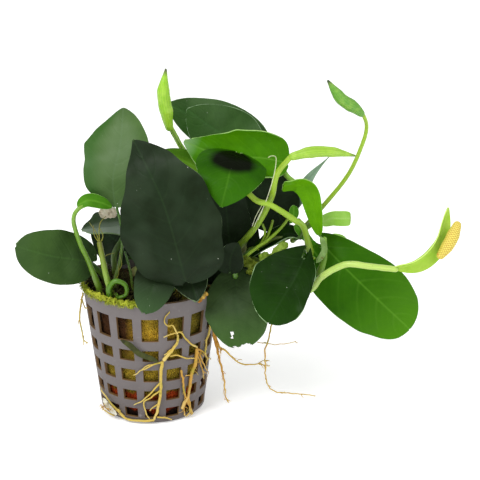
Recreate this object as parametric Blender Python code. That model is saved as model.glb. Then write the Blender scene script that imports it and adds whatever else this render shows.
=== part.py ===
import bpy
import bmesh
import numpy as np
from math import pi, radians

MM = 0.001

# Net pot: a tapered cup of 16 columns and 5 rows of windows. All sizes are in millimetres.
RIM_RADIUS = 26.0
BASE_RADIUS = 19.7
POT_HEIGHT = 51.0
WALL = 1.2
COLUMNS = 16
WINDOW_SHARE = 0.65
FIRST_WINDOW_DEGREES = -88.6
CHAMFER = 1.2
WINDOW_EDGES = [(2.6, 6.4), (9.9, 14.2), (18.2, 23.2), (27.0, 31.4), (35.4, 44.6)]
BASE_RINGS = [17.2, 9.5]

# Stone wool plug inside the pot
WOOL_GAP = 0.4
WOOL_TOP = 47.6
WOOL_SIDES = 28
WOOL_CROWN = 0.7

BLADE_THICKNESS = 0.8
SIX_SIDED = 1
EIGHT_SIDED = 2

MATERIALS = {
    "pot_plastic": ((0.25, 0.22, 0.26), 0.55),
    "stone_wool": ((0.30, 0.20, 0.05), 0.95),
    "dark_leaf": ((0.02, 0.05, 0.02), 0.35),
    "bright_leaf": ((0.07, 0.26, 0.01), 0.35),
    "stalk": ((0.25, 0.42, 0.05), 0.45),
    "flower": ((0.42, 0.60, 0.06), 0.45),
    "spadix": ((0.80, 0.70, 0.25), 0.70),
    "rhizome": ((0.10, 0.12, 0.02), 0.60),
    "root": ((0.45, 0.35, 0.10), 0.70),
}

# Blades. The spine runs from the base to the tip, and face is where the upper side looks.
# width is the widest span. curl lifts the margins towards the face, in degrees of arc.
# wave is the height of the margin's ruffle, and heart is how far the base lobes reach back.
BLADES = {
    "front_leaf": dict(
        spine=[(13, -28, 64), (11, -31, 73), (7, -30, 90), (1, -26, 103), (-5, -17, 110)],
        face=(-0.1, -1.0, 0.2), width=33, curl=-25, twist=0, wave=1.0, waves=3.0, heart=4, grid=(8, 4),
        kind="dark_leaf"),
    "upper_left_leaf": dict(
        spine=[(-16, -12, 86), (-13, -12, 95), (-10, -8, 106), (-9, 1, 117)], face=(-0.25, -1.0, 0.25),
        width=23, curl=35, twist=0, wave=0.8, waves=2.0, heart=4, grid=(8, 4), kind="dark_leaf"),
    "left_leaf": dict(
        spine=[(-22, -8, 61), (-28, -13, 64), (-37, -17, 67), (-48, -18, 71)], face=(-0.1, -0.9, 0.45),
        width=20, curl=25, twist=0, wave=0.6, waves=2.0, heart=3, grid=(8, 4), kind="dark_leaf"),
    "grey_leaf": dict(
        spine=[(-9, 6, 71), (-14, 1, 72), (-19, -3, 73), (-25, -5, 73)], face=(-0.4, -0.5, 0.9),
        width=17, curl=40, twist=0, wave=0.5, waves=2.0, heart=2, grid=(6, 4), kind="dark_leaf"),
    "shade_leaf": dict(
        spine=[(-9, 8, 57), (-13, 12, 61), (-18, 14, 65), (-23, 13, 69)], face=(-0.2, -0.8, 0.6),
        width=18, curl=20, twist=0, wave=0.4, waves=2.0, heart=2, grid=(6, 4), kind="dark_leaf"),
    "over_rim_leaf": dict(
        spine=[(5, -15, 65), (4, -22, 64), (2, -28, 58), (-1, -31, 50)], face=(0.0, -0.9, 0.5),
        width=15, curl=-20, twist=0, wave=0.4, waves=2.0, heart=2, grid=(6, 4), kind="dark_leaf"),
    "under_front_leaf": dict(
        spine=[(10, -10, 62), (13, -16, 61), (16, -22, 58), (18, -27, 53)], face=(0.1, -0.9, 0.5),
        width=15, curl=20, twist=0, wave=0.4, waves=2.0, heart=2, grid=(6, 4), kind="dark_leaf"),
    "torn_leaf": dict(
        spine=[(32, -12, 57), (32, -18, 51), (33, -21, 42), (34, -20, 31)], face=(-0.1, -1.0, 0.3),
        width=23, curl=-20, twist=0, wave=0.8, waves=2.0, heart=3, grid=(8, 4), kind="dark_leaf"),
    "glossy_leaf": dict(
        spine=[(55, -17, 68), (53, -26, 64), (48, -31, 56), (43, -31, 45)], face=(0.1, -0.9, 0.4),
        width=25, curl=30, twist=0, wave=0.8, waves=2.0, heart=4, grid=(8, 4), kind="dark_leaf"),
    "edge_on_leaf": dict(
        spine=[(56, -7, 71), (51, -8, 72), (45, -8, 69), (39, -7, 65)], face=(0.3, -0.5, 0.9),
        width=7, curl=110, twist=0, wave=0.3, waves=2.0, heart=0, grid=(6, 4), kind="dark_leaf"),
    "bright_leaf": dict(
        spine=[(65, -2, 65), (74, -8, 57), (86, -10, 46), (98, -6, 34)], face=(0.0, -1.0, 0.3),
        width=27, curl=20, twist=0, wave=0.8, waves=2.0, heart=5, grid=(8, 4), kind="bright_leaf"),
    "trough_leaf": dict(
        spine=[(52, -2, 97), (42, -6, 101), (28, -8, 102), (13, -2, 106)], face=(0.0, -0.9, 0.5),
        width=22, curl=120, twist=0, wave=0.5, waves=2.0, heart=2, grid=(8, 6), kind="bright_leaf"),
    "hanging_leaf": dict(
        spine=[(33, -10, 104), (31, -18, 103), (29, -26, 97), (27, -27, 89)], face=(0.0, -0.9, 0.6),
        width=26, curl=-30, twist=0, wave=0.5, waves=2.0, heart=1, grid=(6, 4), kind="bright_leaf"),
    "back_left_leaf": dict(
        spine=[(42, 16, 97), (32, 22, 101), (20, 25, 106), (6, 24, 113)], face=(-0.2, -0.9, 0.4),
        width=21, curl=30, twist=0, wave=0.5, waves=2.0, heart=3, grid=(8, 4), kind="dark_leaf"),
    "back_right_leaf": dict(
        spine=[(39, 8, 97), (31, 12, 102), (23, 13, 107), (14, 13, 114)], face=(-0.2, -0.9, 0.4),
        width=23, curl=30, twist=0, wave=0.5, waves=2.0, heart=3, grid=(8, 4), kind="dark_leaf"),
    "wedge_leaf": dict(
        spine=[(23, 0, 91), (17, 2, 95), (11, 2, 98), (4, 2, 101)], face=(0.0, -0.8, 0.6),
        width=10, curl=30, twist=0, wave=0.3, waves=2.0, heart=1, grid=(6, 4), kind="bright_leaf"),
    "strap_leaf": dict(
        spine=[(65, -8, 70), (61, -10, 83), (56, -12, 92), (49, -16, 91)], face=(-0.4, -0.9, 0.2),
        width=9, curl=40, twist=0, wave=0.3, waves=1.0, heart=0, grid=(8, 4), kind="bright_leaf"),
    "grey_tip_leaf": dict(
        spine=[(55, 5, 79), (59, 8, 85), (62, 11, 90), (67, 15, 96)], face=(-0.5, -0.8, 0.3),
        width=5, curl=40, twist=0, wave=0.2, waves=1.0, heart=1, grid=(6, 4), kind="dark_leaf"),
    "dark_back_leaf": dict(
        spine=[(37, 7, 89), (42, 4, 84), (47, 2, 78), (51, 3, 71)], face=(0.1, -1.0, 0.3),
        width=20, curl=20, twist=0, wave=0.4, waves=2.0, heart=0, grid=(6, 4), kind="dark_leaf"),
    "rhizome_leaf": dict(
        spine=[(30, -13, 59), (30, -14, 63), (31, -14, 67), (33, -12, 70)], face=(0.1, -1.0, 0.3),
        width=10, curl=50, twist=0, wave=0.2, waves=1.0, heart=1, grid=(6, 4), kind="dark_leaf"),
    "inner_leaf": dict(
        spine=[(29, -5, 69), (29, -5, 76), (28, -4, 83), (26, -3, 90)], face=(0.1, -1.0, 0.2),
        width=13, curl=15, twist=0, wave=0.3, waves=1.0, heart=1, grid=(6, 4), kind="dark_leaf"),
    "narrow_leaf": dict(
        spine=[(59, -11, 70), (60, -10, 68), (61, -9, 66), (63, -9, 63)], face=(0.6, -0.9, 0.3),
        width=5, curl=60, twist=0, wave=0.0, waves=1.0, heart=0, grid=(6, 2), kind="bright_leaf"),
    "pale_lobe": dict(
        spine=[(67, 6, 62), (69, 7, 64), (72, 8, 64), (75, 8, 63)], face=(0.0, -0.8, 0.6),
        width=5, curl=40, twist=0, wave=0.0, waves=1.0, heart=0, grid=(4, 2), kind="bright_leaf"),
    "pale_bract": dict(
        spine=[(64, 2, 73), (68, 1, 75), (71, 1, 75), (75, 1, 75)], face=(0.0, -1.0, 0.1),
        width=6, curl=40, twist=0, wave=0.2, waves=1.0, heart=0, grid=(4, 2), kind="flower"),
    "open_spathe": dict(
        spine=[(91, -27, 66), (99, -27, 69), (105, -26, 76), (109, -21, 87)], face=(0.8, -0.6, -0.2),
        width=9, curl=120, twist=0, wave=0.2, waves=1.0, heart=0, grid=(8, 4), kind="flower"),
}

# Stalks, buds and roots: points along the middle, the radius at each end and the number of rings.
STALKS = {
    "front_petiole": ([(25, -8, 63), (22, -13, 65), (18, -20, 65), (14, -27, 62.5)], 1.3, 1.1, 6, "stalk"),
    "upper_left_petiole": ([(-18, -12, 50), (-22, -14, 63), (-25, -15, 71), (-27, -16, 80),
                            (-25, -15, 85), (-21, -13, 85)], 1.3, 0.9, 12, "stalk"),
    "left_petiole": ([(-15, -4, 50), (-18, -5, 55), (-21, -7, 60)], 1.3, 1.0, 4, "stalk"),
    "grey_petiole": ([(-13, 3, 50), (-14, 4, 59), (-11, 6, 65), (-9, 6, 69.5)], 1.3, 1.0, 8, "stalk"),
    "torn_petiole": ([(33, -8, 64), (33, -10, 63), (32, -12, 60), (32, -12, 58)], 1.2, 1.0, 5, "stalk"),
    "glossy_petiole": ([(38, -9, 62), (44, -12, 62), (50, -13, 64), (54, -14, 68)], 1.2, 1.0, 6, "stalk"),
    "bright_petiole": ([(37, 0, 59), (49, 0, 57), (59, 0, 59), (64, -1, 63.5)], 1.3, 1.0, 8, "stalk"),
    "hanging_petiole": ([(58, -12, 71), (56, -16, 77), (53, -20, 82), (45, -22, 88), (39, -21, 90),
                         (35, -18, 93)], 1.4, 1.1, 12, "stalk"),
    "trough_petiole": ([(41, -2, 64), (52, -2, 69), (61, -4, 76), (61.5, -5, 86), (58, -3, 92),
                        (55, -2, 94)], 1.3, 1.0, 12, "stalk"),
    "back_left_petiole": ([(36, 2, 66), (43, 11, 79), (45, 16, 91), (43, 16, 96)], 1.3, 1.0, 8, "stalk"),
    "back_right_petiole": ([(32, 2, 67), (36, 10, 78), (40, 12, 90), (40, 8.5, 95.5)], 1.3, 1.0, 8, "stalk"),
    "dark_back_petiole": ([(35, -1, 68), (34, 4, 75), (35, 7, 81), (36, 8, 86)], 1.2, 1.0, 6, "stalk"),
    "strap_petiole": ([(64, -10, 57), (65, -9, 63), (65, -8, 69)], 1.5, 1.1, 4, "stalk"),
    "cut_petiole": ([(-14, -15, 50), (-16, -15, 60), (-18, -14, 71)], 1.6, 1.3, 6, "stalk"),
    "coiled_shoot": ([(-14, -18.5, 50), (-14, -18.5, 55), (-11, -18.5, 57), (-8.5, -19, 55), (-9, -20, 52),
                      (-12, -20, 52)], 0.8, 0.5, 10, "stalk"),
    "open_flower_stalk": ([(49, -10, 53), (59, -14, 52), (64, -20, 60), (72, -24, 66), (81, -26, 66),
                           (90, -27, 65)], 1.6, 1.4, 14, "flower"),
    "tall_flower_stalk": ([(53, 5, 64), (65, 4, 79), (74, 2, 92), (79, 0, 105), (80, -2, 112),
                           (79, -4, 116)], 1.2, 0.9, 14, "flower"),
    "level_flower_stalk": ([(34, -7, 69), (40, -12, 77), (45, -16, 89), (47, -20, 99), (51, -22, 106)],
                           1.4, 1.2, 12, "flower"),
    "upright_flower_stalk": ([(22, 2, 65), (19, 9, 81), (14, 9, 96), (11, 6, 103), (8, -2, 110)],
                             1.2, 1.1, 10, "flower"),
    "front_root": ([(10, -26, 40), (11, -27, 38), (9, -27.5, 33), (5, -27, 29), (4, -26, 19), (3, -24, 8),
                    (1, -22, 2)], 0.7, 0.6, 16, "root"),
    "base_root": ([(0, -22, 1.5), (-10, -20, 2), (-14, -18, 7), (-18, -14, 11)], 0.8, 0.5, 10, "root"),
    "thick_root": ([(13, -24, 40), (17, -24, 34), (17, -24, 27), (15, -23, 17), (13, -22, 10),
                    (13, -21, 4)], 0.9, 0.5, 12, "root"),
    "right_root": ([(23, -16, 42), (22, -16, 33), (21, -16, 26), (22, -13, 20)], 0.9, 0.4, 8, "root"),
    "outer_root": ([(25, -10, 36), (26, -10, 26), (27, -9, 17), (29, -8, 10), (29, -8, 3)],
                   0.9, 0.4, 10, "root"),
    "branch_root": ([(28, -9, 25), (31, -8, 21), (36, -6, 16), (45, -4, 15)], 0.7, 0.4, 8, "root"),
    "long_root": ([(47, -16, 39), (45, -14, 29), (43, -12, 21), (44, -10, 13), (47, -8, 7), (63, -6, 5)],
                  0.5, 0.35, 14, "root"),
    "left_root": ([(-27, -5, 45), (-27, -6, 36), (-26, -6, 28)], 0.7, 0.4, 6, "root"),
}
RHIZOME_PATH = [(-8, 0, 53), (6, 0, 54), (18, -2, 58), (28, -3, 62), (36, -4, 66)]
RHIZOME_RADIUS = [3.2, 3.8, 4.0, 3.8, 2.6]
RHIZOME_RINGS = 10

# Closed spathes: middle line and radius at each of its points
BUDS = {
    "tall_spathe": ([(78, -5, 117), (75, -6, 120), (70, -8, 124), (65, -9, 131)], [1.2, 2.3, 2.0, 0.4]),
    "level_spathe": ([(52, -22, 107), (59, -22, 108), (67, -22, 108), (75, -20, 106)],
                     [1.3, 2.0, 1.7, 0.4]),
    "upright_spathe": ([(8, -2, 111), (7, -3, 117), (6, -4, 125), (7, -4, 134)], [1.3, 2.4, 2.2, 0.4]),
    "spadix": ([(105, -30, 70), (109, -30, 76), (112, -28, 82)], [1.2, 2.1, 1.2]),
}
BUD_RINGS = 9


def clear_scene():
    for item in list(bpy.data.objects):
        bpy.data.objects.remove(item, do_unlink=True)


def make_material(name):
    colour, roughness = MATERIALS[name]
    material = bpy.data.materials.new(name)
    material.use_nodes = True
    shader = material.node_tree.nodes["Principled BSDF"]
    shader.inputs["Base Color"].default_value = (*colour, 1.0)
    shader.inputs["Roughness"].default_value = roughness
    return material


def add_object(name, data, material):
    item = bpy.data.objects.new(name, data)
    bpy.context.scene.collection.objects.link(item)
    data.materials.append(material)
    return item


def smooth_path(points, places):
    """Catmull-Rom curve through the points, read at places from 0 to 1 of its length."""
    points = np.array(points, float)
    ends = np.vstack([2 * points[0] - points[1], points, 2 * points[-1] - points[-2]])
    steps = np.linspace(0, 1, 24, endpoint=False)[:, None]
    pieces = []
    for before, start, end, after in zip(ends, ends[1:], ends[2:], ends[3:]):
        pieces.append(0.5 * (2 * start + (end - before) * steps
                             + (2 * before - 5 * start + 4 * end - after) * steps ** 2
                             + (3 * start - before - 3 * end + after) * steps ** 3))
    dense = np.vstack(pieces + [points[-1:]])
    length = np.concatenate([[0], np.cumsum(np.linalg.norm(np.diff(dense, axis=0), axis=1))])
    wanted = np.asarray(places) * length[-1]
    return np.stack([np.interp(wanted, length, dense[:, axis]) for axis in range(3)], 1)


def unit(vectors):
    return vectors / np.linalg.norm(vectors, axis=-1, keepdims=True)


def blade_grid(blade):
    """Points of a blade, in rows from base to tip and columns from margin to margin."""
    rows, columns = blade["grid"]
    along = 0.5 - 0.5 * np.cos(pi * np.arange(rows + 1) / rows)
    across = np.linspace(-1, 1, columns + 1)
    spine = smooth_path(blade["spine"], along)
    tangent = unit(np.gradient(spine, axis=0))
    side = np.cross(spine[-1] - spine[0], np.array(blade["face"], float))
    side = unit(side - (tangent @ side)[:, None] * tangent)
    normal = np.cross(side, tangent)
    turn = radians(blade["twist"]) * (along - 0.5)[:, None]
    side, normal = (side * np.cos(turn) + normal * np.sin(turn),
                    normal * np.cos(turn) - side * np.sin(turn))
    outline = along ** 0.45 * (1 - along) ** 0.65
    outline = np.maximum(outline / outline.max(), 0.07)[:, None]
    half = blade["width"] / 2 * outline
    arc = radians(blade["curl"]) / 2 * outline
    arc = np.where(abs(arc) < 0.001, 0.001, arc)
    sideways = half * np.sin(arc * across) / arc
    ripple = np.sin(2 * pi * blade["waves"] * along[:, None] + 0.9 * across)
    rise = half * (1 - np.cos(arc * across)) / arc + blade["wave"] * outline * across ** 2 * ripple
    back = blade["heart"] * across ** 2 * (1 - along[:, None]) ** 3 * (outline > 0.1)
    return (spine[:, None] + side[:, None] * sideways[..., None]
            + normal[:, None] * rise[..., None] - tangent[:, None] * back[..., None])


def make_blade(name, blade, material):
    grid = blade_grid(blade) * MM
    rows, columns = grid.shape[:2]
    mesh = bpy.data.meshes.new(name)
    shape = bmesh.new()
    corners = [shape.verts.new(point) for point in grid.reshape(-1, 3)]
    for row in range(rows - 1):
        for column in range(columns - 1):
            first = row * columns + column
            shape.faces.new([corners[first], corners[first + 1], corners[first + columns + 1],
                             corners[first + columns]])
    shape.to_mesh(mesh)
    shape.free()
    mesh.shade_smooth()
    item = add_object(name, mesh, material)
    skin = item.modifiers.new("thickness", "SOLIDIFY")
    skin.thickness = BLADE_THICKNESS * MM
    skin.offset = 0
    skin.use_rim = True
    return item


def make_tube(name, path, radii, sides, material):
    """Tube along the path, with a radius at each point and closed ends."""
    curve = bpy.data.curves.new(name, "CURVE")
    curve.dimensions = "3D"
    curve.bevel_depth = MM
    curve.bevel_resolution = sides
    curve.use_fill_caps = True
    line = curve.splines.new("POLY")
    line.points.add(len(path) - 1)
    for spot, place, radius in zip(line.points, path, radii):
        spot.co = (*(place * MM), 1)
        spot.radius = radius
    return add_object(name, curve, material)


def make_stalk(name, entry, materials):
    points, start, end, rings, kind = entry
    places = np.linspace(0, 1, rings)
    return make_tube(name, smooth_path(points, places), start + (end - start) * places, SIX_SIDED,
                     materials[kind])


def make_swelling(name, points, radii, rings, sides, material):
    """Tube whose radius follows the smooth curve through the given radii."""
    places = np.linspace(0, 1, rings)
    knots = np.linspace(0, 1, len(radii))
    return make_tube(name, smooth_path(points, places), np.interp(places, knots, radii), sides, material)


def wall_radius(height):
    return BASE_RADIUS + (RIM_RADIUS - BASE_RADIUS) * height / POT_HEIGHT


def make_pot(material):
    """One sheet for base and wall, with its windows left out, thickened inwards."""
    window = 2 * pi / COLUMNS * WINDOW_SHARE
    middles = radians(FIRST_WINDOW_DEGREES) + 2 * pi * np.arange(COLUMNS) / COLUMNS
    angles = np.sort(np.concatenate([middles - window / 2, middles + window / 2]))
    heights = [0.0, CHAMFER]
    windows = []
    for low, high in WINDOW_EDGES:
        windows.append(len(BASE_RINGS) + len(heights) - 1)
        heights += [low, high]
    heights.append(POT_HEIGHT)
    rings = [(radius, 0.0) for radius in reversed(BASE_RINGS)]
    rings.append((BASE_RADIUS - CHAMFER, 0.0))
    rings += [(wall_radius(height), height) for height in heights[1:]]
    base_window = 0
    shape = bmesh.new()
    loops = []
    for radius, height in rings:
        loops.append([shape.verts.new((radius * MM * np.cos(a), radius * MM * np.sin(a), height * MM))
                      for a in angles])
    count = len(angles)
    open_rows = {base_window} | {index + 1 for index in windows}
    for row in range(len(loops) - 1):
        for column in range(count):
            if row in open_rows and column % 2 == 0:
                continue
            after = (column + 1) % count
            shape.faces.new([loops[row][column], loops[row][after], loops[row + 1][after],
                             loops[row + 1][column]])
    shape.faces.new(list(reversed(loops[0])))
    bmesh.ops.recalc_face_normals(shape, faces=shape.faces[:])
    mesh = bpy.data.meshes.new("net_pot")
    shape.to_mesh(mesh)
    shape.free()
    item = add_object("net_pot", mesh, material)
    skin = item.modifiers.new("wall", "SOLIDIFY")
    skin.thickness = WALL * MM
    skin.offset = -1
    skin.use_even_offset = True
    return item


def make_wool(material):
    """Stone wool plug: a tapered drum whose top is a little crowned."""
    floor = WALL + WOOL_GAP
    shape = bmesh.new()
    turns = 2 * pi * np.arange(WOOL_SIDES) / WOOL_SIDES
    rings = [(floor, 1.0), (POT_HEIGHT / 2, 1.0), (WOOL_TOP, 1.0), (WOOL_TOP + WOOL_CROWN, 0.6)]
    loops = []
    for height, share in rings:
        radius = (wall_radius(height) - WALL - 2 * WOOL_GAP) * share
        loops.append([shape.verts.new((radius * MM * np.cos(a), radius * MM * np.sin(a), height * MM))
                      for a in turns])
    for lower, upper in zip(loops, loops[1:]):
        for index in range(WOOL_SIDES):
            after = (index + 1) % WOOL_SIDES
            shape.faces.new([lower[index], lower[after], upper[after], upper[index]])
    shape.faces.new(list(reversed(loops[0])))
    shape.faces.new(loops[-1])
    mesh = bpy.data.meshes.new("stone_wool")
    shape.to_mesh(mesh)
    shape.free()
    return add_object("stone_wool", mesh, material)


def main():
    clear_scene()
    materials = {name: make_material(name) for name in MATERIALS}
    make_pot(materials["pot_plastic"])
    make_wool(materials["stone_wool"])
    make_swelling("rhizome", RHIZOME_PATH, RHIZOME_RADIUS, RHIZOME_RINGS, EIGHT_SIDED,
                  materials["rhizome"])
    for name, blade in BLADES.items():
        make_blade(name, blade, materials[blade["kind"]])
    for name, entry in STALKS.items():
        make_stalk(name, entry, materials)
    for name, (points, radii) in BUDS.items():
        kind = "spadix" if name == "spadix" else "flower"
        make_swelling(name, points, radii, BUD_RINGS, SIX_SIDED, materials[kind])


main()
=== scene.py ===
import bpy
import numpy as np
from math import pi, radians
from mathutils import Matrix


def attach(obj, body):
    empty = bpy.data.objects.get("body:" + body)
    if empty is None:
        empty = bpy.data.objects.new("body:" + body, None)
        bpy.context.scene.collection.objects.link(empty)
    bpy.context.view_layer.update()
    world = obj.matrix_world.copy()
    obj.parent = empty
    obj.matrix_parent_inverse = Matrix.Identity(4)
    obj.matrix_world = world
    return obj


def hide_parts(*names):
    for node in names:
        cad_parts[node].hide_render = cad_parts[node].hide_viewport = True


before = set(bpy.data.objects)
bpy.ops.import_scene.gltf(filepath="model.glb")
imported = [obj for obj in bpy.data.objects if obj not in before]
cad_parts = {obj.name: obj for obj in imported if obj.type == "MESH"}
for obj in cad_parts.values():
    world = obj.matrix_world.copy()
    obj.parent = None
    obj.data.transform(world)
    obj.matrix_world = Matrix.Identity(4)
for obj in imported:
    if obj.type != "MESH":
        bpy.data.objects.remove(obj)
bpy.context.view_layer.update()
mm = 0.001


def linearColour(hexCode):
    # sRGB hex to linear: each channel goes through the sRGB curve
    channels = [int(hexCode[i:i + 2], 16) / 255 for i in (1, 3, 5)]
    return tuple(c / 12.92 if c <= 0.04045 else ((c + 0.055) / 1.055) ** 2.4 for c in channels) + (1.0,)


def addNode(tree, kind, inputs=None, get=0, stops=(), **settings):
    # inputs are numbers, hex colours or sockets to link, by name or number; stops are a colour ramp's places
    # and colours; settings are the node's own properties; gives the output asked for, or the node itself when
    # get is None
    node = tree.nodes.new("ShaderNode" + kind)
    for name, value in settings.items():
        setattr(node, name, value)
    while len(stops) > 2 and len(node.color_ramp.elements) < len(stops):
        node.color_ramp.elements.new(0.5)
    for number, (place, colour) in enumerate(stops):
        node.color_ramp.elements[number].position = place
        grey = (colour, colour, colour, 1.0)
        node.color_ramp.elements[number].color = linearColour(colour) if isinstance(colour, str) else grey
    for name, value in (inputs or {}).items():
        if isinstance(value, bpy.types.NodeSocket):
            tree.links.new(value, node.inputs[name])
        else:
            node.inputs[name].default_value = linearColour(value) if isinstance(value, str) else value
    return node if get is None else node.outputs[get]


def blotches(tree, place, scale, stops, detail=3, roughness=0.55):
    # soft random patches, scale of them in a metre, cut to the stops
    patches = addNode(tree, "TexNoise", {"Vector": place, "Scale": scale, "Detail": detail,
                "Roughness": roughness})
    return addNode(tree, "ValToRGB", {0: patches}, stops=stops)


def newMaterial(name, settings):
    # a material of one shader with the settings; place is the point on the object, for patterns
    material = bpy.data.materials.new(name)
    material.use_nodes = True
    tree = material.node_tree
    tree.nodes.clear()
    output = addNode(tree, "OutputMaterial", get=None)
    shader = addNode(tree, "BsdfPrincipled", settings, None)
    tree.links.new(shader.outputs[0], output.inputs["Surface"])
    return material, tree, shader, addNode(tree, "TexCoord", get="Object")


def letThrough(tree, shader, colour, share):
    # that share of the light passes through the blade and comes out tinted
    glow = addNode(tree, "BsdfTranslucent", {"Color": colour})
    blend = addNode(tree, "MixShader", {0: share, 1: shader.outputs[0], 2: glow})
    tree.links.new(blend, tree.nodes["Material Output"].inputs["Surface"])


def roughen(tree, shader, place, scale, depth, strength):
    # fine uneven relief: scale grains in a metre, and their depth in metres
    grain = addNode(tree, "TexNoise", {"Vector": place, "Scale": scale, "Detail": 4, "Roughness": 0.55})
    tree.links.new(addNode(tree, "Bump", {"Height": grain, "Distance": depth, "Strength": strength}),
            shader.inputs["Normal"])


def unit(vectors):
    # the same directions with a length of one
    return vectors / np.maximum(np.linalg.norm(vectors, axis=-1, keepdims=True), 1e-12)


def smoothPath(points, places):
    # Catmull-Rom curve through the points, read at places from 0 to 1 of its length
    points = np.array(points, float)
    ends = np.vstack([2 * points[0] - points[1], points, 2 * points[-1] - points[-2]])
    steps = np.linspace(0, 1, 24, endpoint=False)[None, :, None]
    before, start, end, after = (ends[i:len(ends) - 3 + i, None] for i in range(4))
    pieces = 0.5 * (2 * start + (end - before) * steps + (2 * before - 5 * start + 4 * end - after)
            * steps ** 2 + (3 * start - before - 3 * end + after) * steps ** 3)
    dense = np.vstack([pieces.reshape(-1, 3), points[-1:]])
    length = np.concatenate([[0], np.cumsum(np.linalg.norm(np.diff(dense, axis=0), axis=1))])
    wanted = np.asarray(places) * length[-1]
    return np.stack([np.interp(wanted, length, dense[:, axis]) for axis in range(3)], 1)


def waveNoise(places, seed, scale, count=7):
    # smooth noise of place: the mean of a few sine waves with random directions, lengths near scale, and
    # phases
    random = np.random.default_rng(seed)
    waves = unit(random.normal(size=(count, 3))) * (2 * pi / scale) * random.uniform(0.6, 1.6, (count, 1))
    phases = random.uniform(0, 2 * pi, count)
    return np.sin(places @ waves.T + phases).mean(-1) * 1.6


def gridFaces(rows, columns, wrap):
    # quads between neighbouring rows and columns; wrap joins the last column to the first
    row = np.arange(rows - 1)[:, None]
    column = np.arange(columns if wrap else columns - 1)[None, :]
    after = (column + 1) % columns
    quads = np.stack([row * columns + column, row * columns + after, (row + 1) * columns + after,
                (row + 1) * columns + column], -1)
    return quads.reshape(-1, 4)


def meshFromArrays(name, points, quads, triangles=None, uv=None, layers=None):
    # points in millimetres; quads, and triangles if any, are rows of point numbers
    triangles = np.zeros((0, 3), int) if triangles is None else triangles
    mesh = bpy.data.meshes.new(name)
    mesh.vertices.add(len(points))
    mesh.vertices.foreach_set("co", (np.asarray(points) * mm).astype(np.float32).ravel())
    corners = np.concatenate([quads.ravel(), triangles.ravel()]).astype(np.int32)
    totals = np.concatenate([np.full(len(quads), 4), np.full(len(triangles), 3)]).astype(np.int32)
    mesh.loops.add(len(corners))
    mesh.loops.foreach_set("vertex_index", corners)
    mesh.polygons.add(len(totals))
    mesh.polygons.foreach_set("loop_start", np.concatenate([[0], np.cumsum(totals)[:-1]]).astype(np.int32))
    mesh.polygons.foreach_set("loop_total", totals)
    mesh.update(calc_edges=True)
    if uv is not None:
        layer = mesh.uv_layers.new(name="UVMap")
        layer.data.foreach_set("uv", np.asarray(uv)[corners].astype(np.float32).ravel())
    for layerName, values in (layers or {}).items():
        attribute = mesh.attributes.new(layerName, "FLOAT", "POINT")
        attribute.data.foreach_set("value", np.asarray(values, np.float32).ravel())
    mesh.validate()
    mesh.shade_smooth()
    return mesh


def closedTube(rings):
    # rings of points become a tube: quads between rings, and a fan to a middle point at each end
    rows, columns = rings.shape[:2]
    points = np.concatenate([rings.reshape(-1, 3), rings[:1].mean(1), rings[-1:].mean(1)])
    quads = gridFaces(rows, columns, True)
    column = np.arange(columns)
    after = (column + 1) % columns
    first = np.stack([np.full(columns, rows * columns), after, column], -1)
    last = (rows - 1) * columns
    final = np.stack([np.full(columns, rows * columns + 1), last + column, last + after], -1)
    return points, quads, np.concatenate([first, final])


def circleAround(path, turn):
    # directions all round each point of a path, square to it; turn is the angles
    tangent = unit(np.gradient(path, axis=0))
    reference = np.linalg.svd(tangent)[2][-1]
    side = unit(np.cross(tangent, reference))
    up = np.cross(tangent, side)
    return side[:, None] * np.cos(turn)[None, :, None] + up[:, None] * np.sin(turn)[None, :, None]


def tubeRings(path, radii, sides):
    # a circle of each radius carried along the path
    circle = circleAround(path, 2 * pi * np.arange(sides) / sides)
    return path[:, None] + circle * np.asarray(radii)[:, None, None]


def mergeMeshes(parts):
    # joins (points, quads, triangles, uv, layers) parts into one set of arrays
    offset, points, quads, triangles, uvs, layers = 0, [], [], [], [], {}
    for part in parts:
        points.append(part[0])
        quads.append(part[1] + offset)
        triangles.append(part[2] + offset)
        uvs.append(part[3])
        for name, values in part[4].items():
            layers.setdefault(name, []).append(values)
        offset += len(part[0])
    return (np.concatenate(points), np.concatenate(quads), np.concatenate(triangles), np.concatenate(uvs),
            {name: np.concatenate(values) for name, values in layers.items()})


def addPiece(name, mesh, material, slot, *nodes):
    # a visible piece on the one body, which stands for the CAD nodes named
    piece = bpy.data.objects.new(name, mesh)
    bpy.context.scene.collection.objects.link(piece)
    mesh.materials.append(material)
    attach(piece, "root")
    if nodes:
        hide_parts(*nodes)
    return piece


# camera, floor and light
stageValues = dict(target=(33.7, 0, 66.8), distance=650, elevation=19.9, lens=129.75, sensor=36,
        floorHalf=4000, floorColour="#ffffff", floorGlow=0.22, skyColour="#ffffff", skyStrength=0.78)
lamps = {  # place in mm, size in mm, power in watts
    "keyLamp": ((-420, -520, 760), 420, 6.0),
    "fillLamp": ((620, -460, 520), 500, 2.0),
}


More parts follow.
